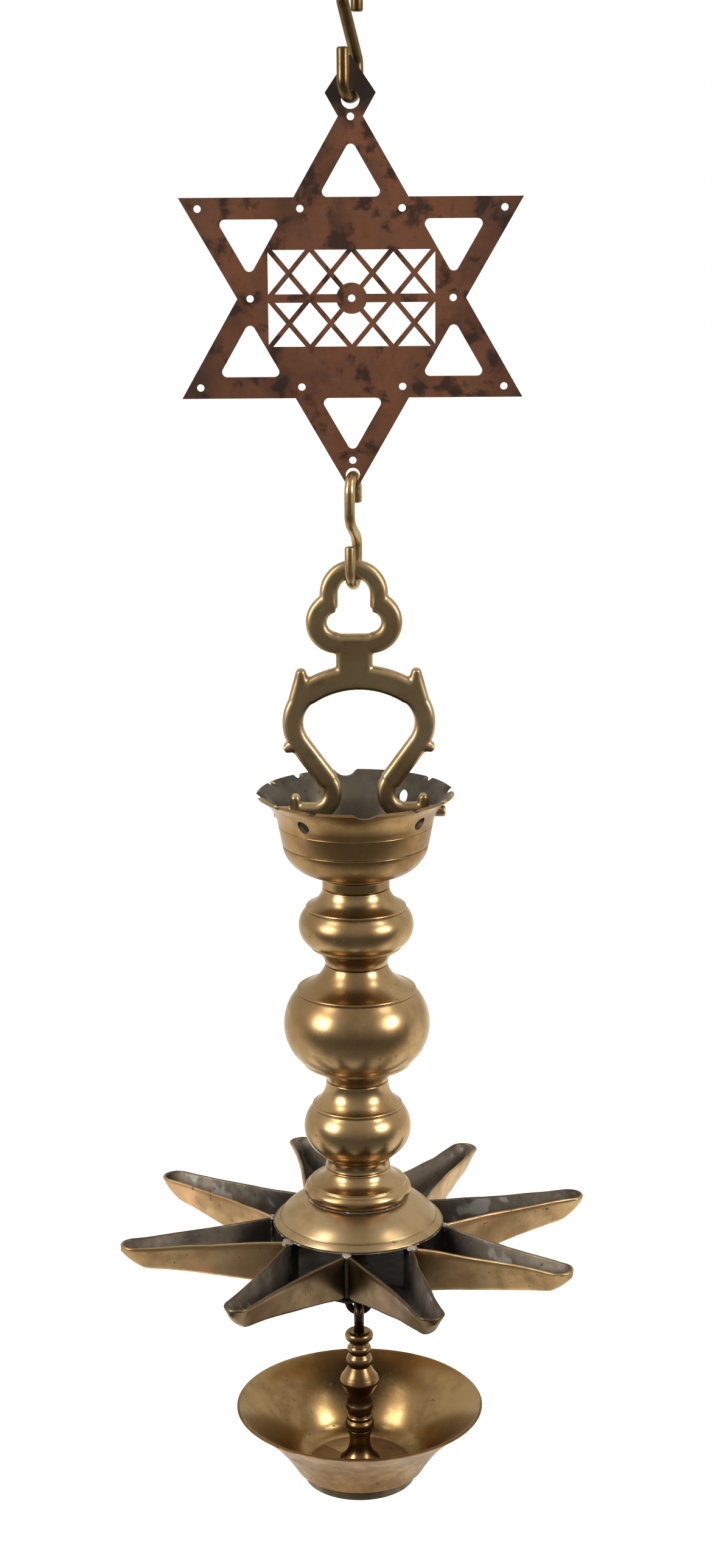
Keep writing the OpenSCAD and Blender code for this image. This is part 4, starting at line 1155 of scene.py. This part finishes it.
def make_drip_hook():
    wire = 5.2
    loop_r = 5.2
    bend_r = wire * 0.6
    lean = math.radians(45)
    z_loop = high("drip_hook") - loop_r - wire / 2
    z_bend = z_loop - (loop_r + bend_r * (1 - math.cos(lean))) / math.sin(lean)
    start = math.radians(-25)
    line = []
    for step, share in ((0.0, 0.6), (0.01, 0.84), (0.03, 0.96), (0.06, 1.0)):
        line.append((mix(start, math.pi + lean, step), share))
    line += [(mix(start, math.pi + lean, 0.06 + 0.94 * i / 44), 1.0) for i in range(1, 45)]
    across = Vector((1, 0, 0))
    path = []
    for a, share in line:
        side = Vector((0, math.cos(a), math.sin(a)))
        path.append((side * loop_r + UP * z_loop, -side, across, share * wire / 2))
    for i in range(9):
        a = lean * (1 - i / 8)
        centre = Vector((0, -bend_r * (1 - math.cos(a)), z_bend + bend_r * math.sin(a)))
        path.append((centre, Vector((0, math.cos(a), math.sin(a))), across, wire / 2))
    path.append((Vector((0, 0, Z_STEM - 0.35)), BACK, across, wire / 2))
    bm = bmesh.new()
    add_tube(bm, path, sides=24)
    worn(bm, 0.1, 0.3, 6)
    finish_piece(bm, "drip_hook_forged", "drip", ["drip_hook"], [eye_brass])


def make_drip_stem():
    stem_r = 5.3
    knop_r = 9.9
    foot_r = 10.4
    z_floor = Z_DRIP_RIM - 33.4
    length = Z_STEM - z_floor

    def down(r, d):
        return (r, Z_STEM - d * length)

    z_end = low("drip_stem")
    profile = [(0, Z_STEM - 0.3), (3.2, Z_STEM - 0.3)]
    profile += bow(down(stem_r - 0.2, 0.002), down(stem_r, 0.075), -150, 14)
    profile += bow(down(stem_r - 0.2, 0.08), down(stem_r - 0.2, 0.1), 60, 6)
    profile += bead(down(stem_r - 0.1, 0.11), down(stem_r - 0.1, 0.165), 0.9)
    profile += [down(stem_r - 0.3, 0.1725)]
    profile += bead(down(stem_r, 0.18), down(stem_r + 0.2, 0.265), 1.2)
    profile += bow(down(stem_r + 0.7, 0.275), down(knop_r - 0.5, 0.345), 12, 8)
    profile += bow(down(knop_r - 0.1, 0.36), down(knop_r - 0.2, 0.395), -60, 8)
    profile += [down(stem_r + 2.3, 0.445), down(stem_r + 2.1, 0.455), down(stem_r + 1.2, 0.462)]
    profile += bow(down(stem_r + 1.1, 0.47), down(stem_r + 1.2, 0.55), 30, 8)
    profile += bow(down(stem_r + 1.3, 0.55), down(stem_r + 0.2, 0.635), -60, 8)
    profile += bead(down(stem_r + 0.9, 0.64), down(stem_r + 0.9, 0.665), 0.4, 6)
    profile += bead(down(stem_r + 0.8, 0.67), down(stem_r + 0.8, 0.745), 1.3)
    profile += [down(stem_r + 1, 0.75), down(stem_r + 0.9, 0.765)]
    profile += bow(down(stem_r + 0.6, 0.775), down(foot_r - 1.4, 0.955), 66, 16)
    profile += bow(down(foot_r - 0.5, 0.965), down(foot_r, 1), -40, 6)
    profile += [(STEM_END_R, z_floor), (STEM_END_R, z_end), (0, z_end)]
    turned_piece("drip_stem_turned", "drip", "drip_stem", "cast_brass", [stem_brass], profile,
                 segments=112, ease=0.2)


def make_drip_bowl():
    foot_r = 28.7
    wall_foot = foot_r + 4.2
    z_under = Z_FOOT + 5
    z_floor = z_under + 2
    profile = bow((DRIP_R, Z_DRIP_RIM - 0.8), (wall_foot, z_under + 1.6), 24, 36)
    profile += [(foot_r, z_under), (foot_r, z_under - 0.6), (foot_r - 0.5, Z_FOOT), (foot_r - 4.2, Z_FOOT),
                (foot_r - 4.2, z_under), (STEM_BORE, z_under), (STEM_BORE, z_floor), (wall_foot - 7, z_floor)]
    profile += bow((wall_foot - 5.5, z_floor + 0.3), (wall_foot + 0.5, z_floor + 4.6), 26, 10)
    profile += bow((DRIP_R - 1.4, Z_DRIP_RIM), (wall_foot + 1.6, z_floor + 6), 22, 36)[::-1]
    bm = bmesh.new()
    add_lathe(bm, profile, segments=220, ease=0.45)
    worn(bm, 0.22, 0.03, 4)
    bmesh.ops.recalc_face_normals(bm, faces=bm.faces)
    for f in bm.faces:
        centre = f.calc_center_median() / MM
        if centre.z < z_under + 0.9:
            f.material_index = 2
        elif f.normal.x * centre.x + f.normal.y * centre.y > 0:
            f.material_index = 1
    finish_piece(bm, "drip_bowl_turned", "drip", ["drip_bowl"],
                 [bowl_brass, bowl_under, foot_brass])


make_drip_hook()
make_drip_stem()
make_drip_bowl()
turned_piece("stem_nut_round", "drip", "stem_nut", "cast_brass", [stem_brass],
             flat_ring("stem_nut", STEM_BORE), segments=64, ease=0.6)


# CAD pieces kept as they are, with worn edges and their materials


def keep_node(node, material, edge_mm):
    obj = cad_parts[node]
    obj.data.materials.clear()
    obj.data.materials.append(material)
    weld = obj.modifiers.new("weld", "WELD")
    weld.merge_threshold = 0.01 * MM
    flat = obj.modifiers.new("flat", "DECIMATE")
    flat.decimate_type = "DISSOLVE"
    flat.angle_limit = math.radians(1)
    round_edges(obj, edge_mm, 50)


keep_node("star_plate", plate_copper, 0.25)
keep_node("tie_rod", old_steel, 0.4)


# Studio: a white sweep behind and beside the lamp, a dark room before it, and four soft boxes

FLOOR_Z = -1.25
FLOOR_HALF = 12.0
# Distances from the lamp, along Y, between which the floor turns from dark to light
FLOOR_DARK = -0.7
FLOOR_LIGHT = 0.1


def make_floor():
    bm = bmesh.new()
    bmesh.ops.create_grid(bm, x_segments=1, y_segments=1, size=FLOOR_HALF)
    floor = add_object("floor", mesh_of(bm, "floor"))
    floor.location = (0, 0, FLOOR_Z)
    s = Shader("floor_white")
    depth = s.axes(s.coord)["Y"]
    s.feed(s.bsdf.inputs["Base Color"], s.ramp(depth, FLOOR_DARK, FLOOR_LIGHT, 0.16, 0.86))
    s.bsdf.inputs["Roughness"].default_value = 0.9
    s.bsdf.inputs["Emission Color"].default_value = (1, 1, 1, 1)
    path = s.node("ShaderNodeLightPath").outputs
    seen = s.maths("MAXIMUM", path["Is Camera Ray"], path["Is Glossy Ray"])
    seen = s.maths("MAXIMUM", seen, path["Is Transmission Ray"])
    lift = s.times(seen, s.ramp(depth, FLOOR_DARK, FLOOR_LIGHT, 0.0, 0.6))
    s.feed(s.bsdf.inputs["Emission Strength"], lift)
    floor.data.materials.append(s.material)


def make_world():
    world = bpy.data.worlds.new("studio")
    bpy.context.scene.world = world
    world.use_nodes = True
    nodes = NodeTree(world.node_tree)
    axes = nodes.axes(nodes.node("ShaderNodeTexCoord").outputs["Generated"])
    behind = nodes.ramp(axes["Y"], -0.2, 0.26)
    room = nodes.ramp(axes["Z"], -0.4, 0.8, 0.14, 0.6)
    background = world.node_tree.nodes["Background"]
    background.inputs["Color"].default_value = (1, 1, 1, 1)
    strength = nodes.node("ShaderNodeMix", Factor=behind, A=room, B=1.0)
    nodes.feed(background.inputs["Strength"], strength.outputs["Result"])


def soft_box(name, place, aim, width, height, power):
    light = bpy.data.lights.new(name, "AREA")
    light.shape = "RECTANGLE"
    light.size = width
    light.size_y = height
    light.energy = power
    obj = add_object(name, light)
    obj.location = place
    obj.rotation_euler = (Vector(aim) - Vector(place)).to_track_quat("-Z", "Y").to_euler()


make_floor()
make_world()
soft_box("left_box", (-1.37, -0.77, 0.16), (0, 0, -0.45), width=0.66, height=0.66, power=22)
soft_box("right_box", (1.34, -0.81, 0.16), (0, 0, -0.45), width=0.55, height=0.5, power=17)
soft_box("left_top", (-1.03, -0.44, 0.82), (0, 0, -0.5), width=0.36, height=0.36, power=5)
soft_box("right_top", (1.03, -0.44, 0.82), (0, 0, -0.5), width=0.32, height=0.32, power=4)


# Camera, as the photograph was taken

CAMERA_PLACE = (0.0004, -1.254, -0.0622)
CAMERA_DOWN = 13.75
CAMERA_ROLL = -0.41
SENSOR_HEIGHT = 36.0
LENS = 61.66

camera_data = bpy.data.cameras.new("camera")
camera_data.sensor_fit = "VERTICAL"
camera_data.sensor_height = SENSOR_HEIGHT
camera_data.lens = LENS
camera = add_object("camera", camera_data)
pitch = Matrix.Rotation(math.radians(90 - CAMERA_DOWN), 4, "X")
roll = Matrix.Rotation(math.radians(CAMERA_ROLL), 4, "Z")
camera.matrix_world = Matrix.Translation(CAMERA_PLACE) @ pitch @ roll
bpy.context.scene.camera = camera
bpy.context.scene.view_settings.view_transform = "Standard"
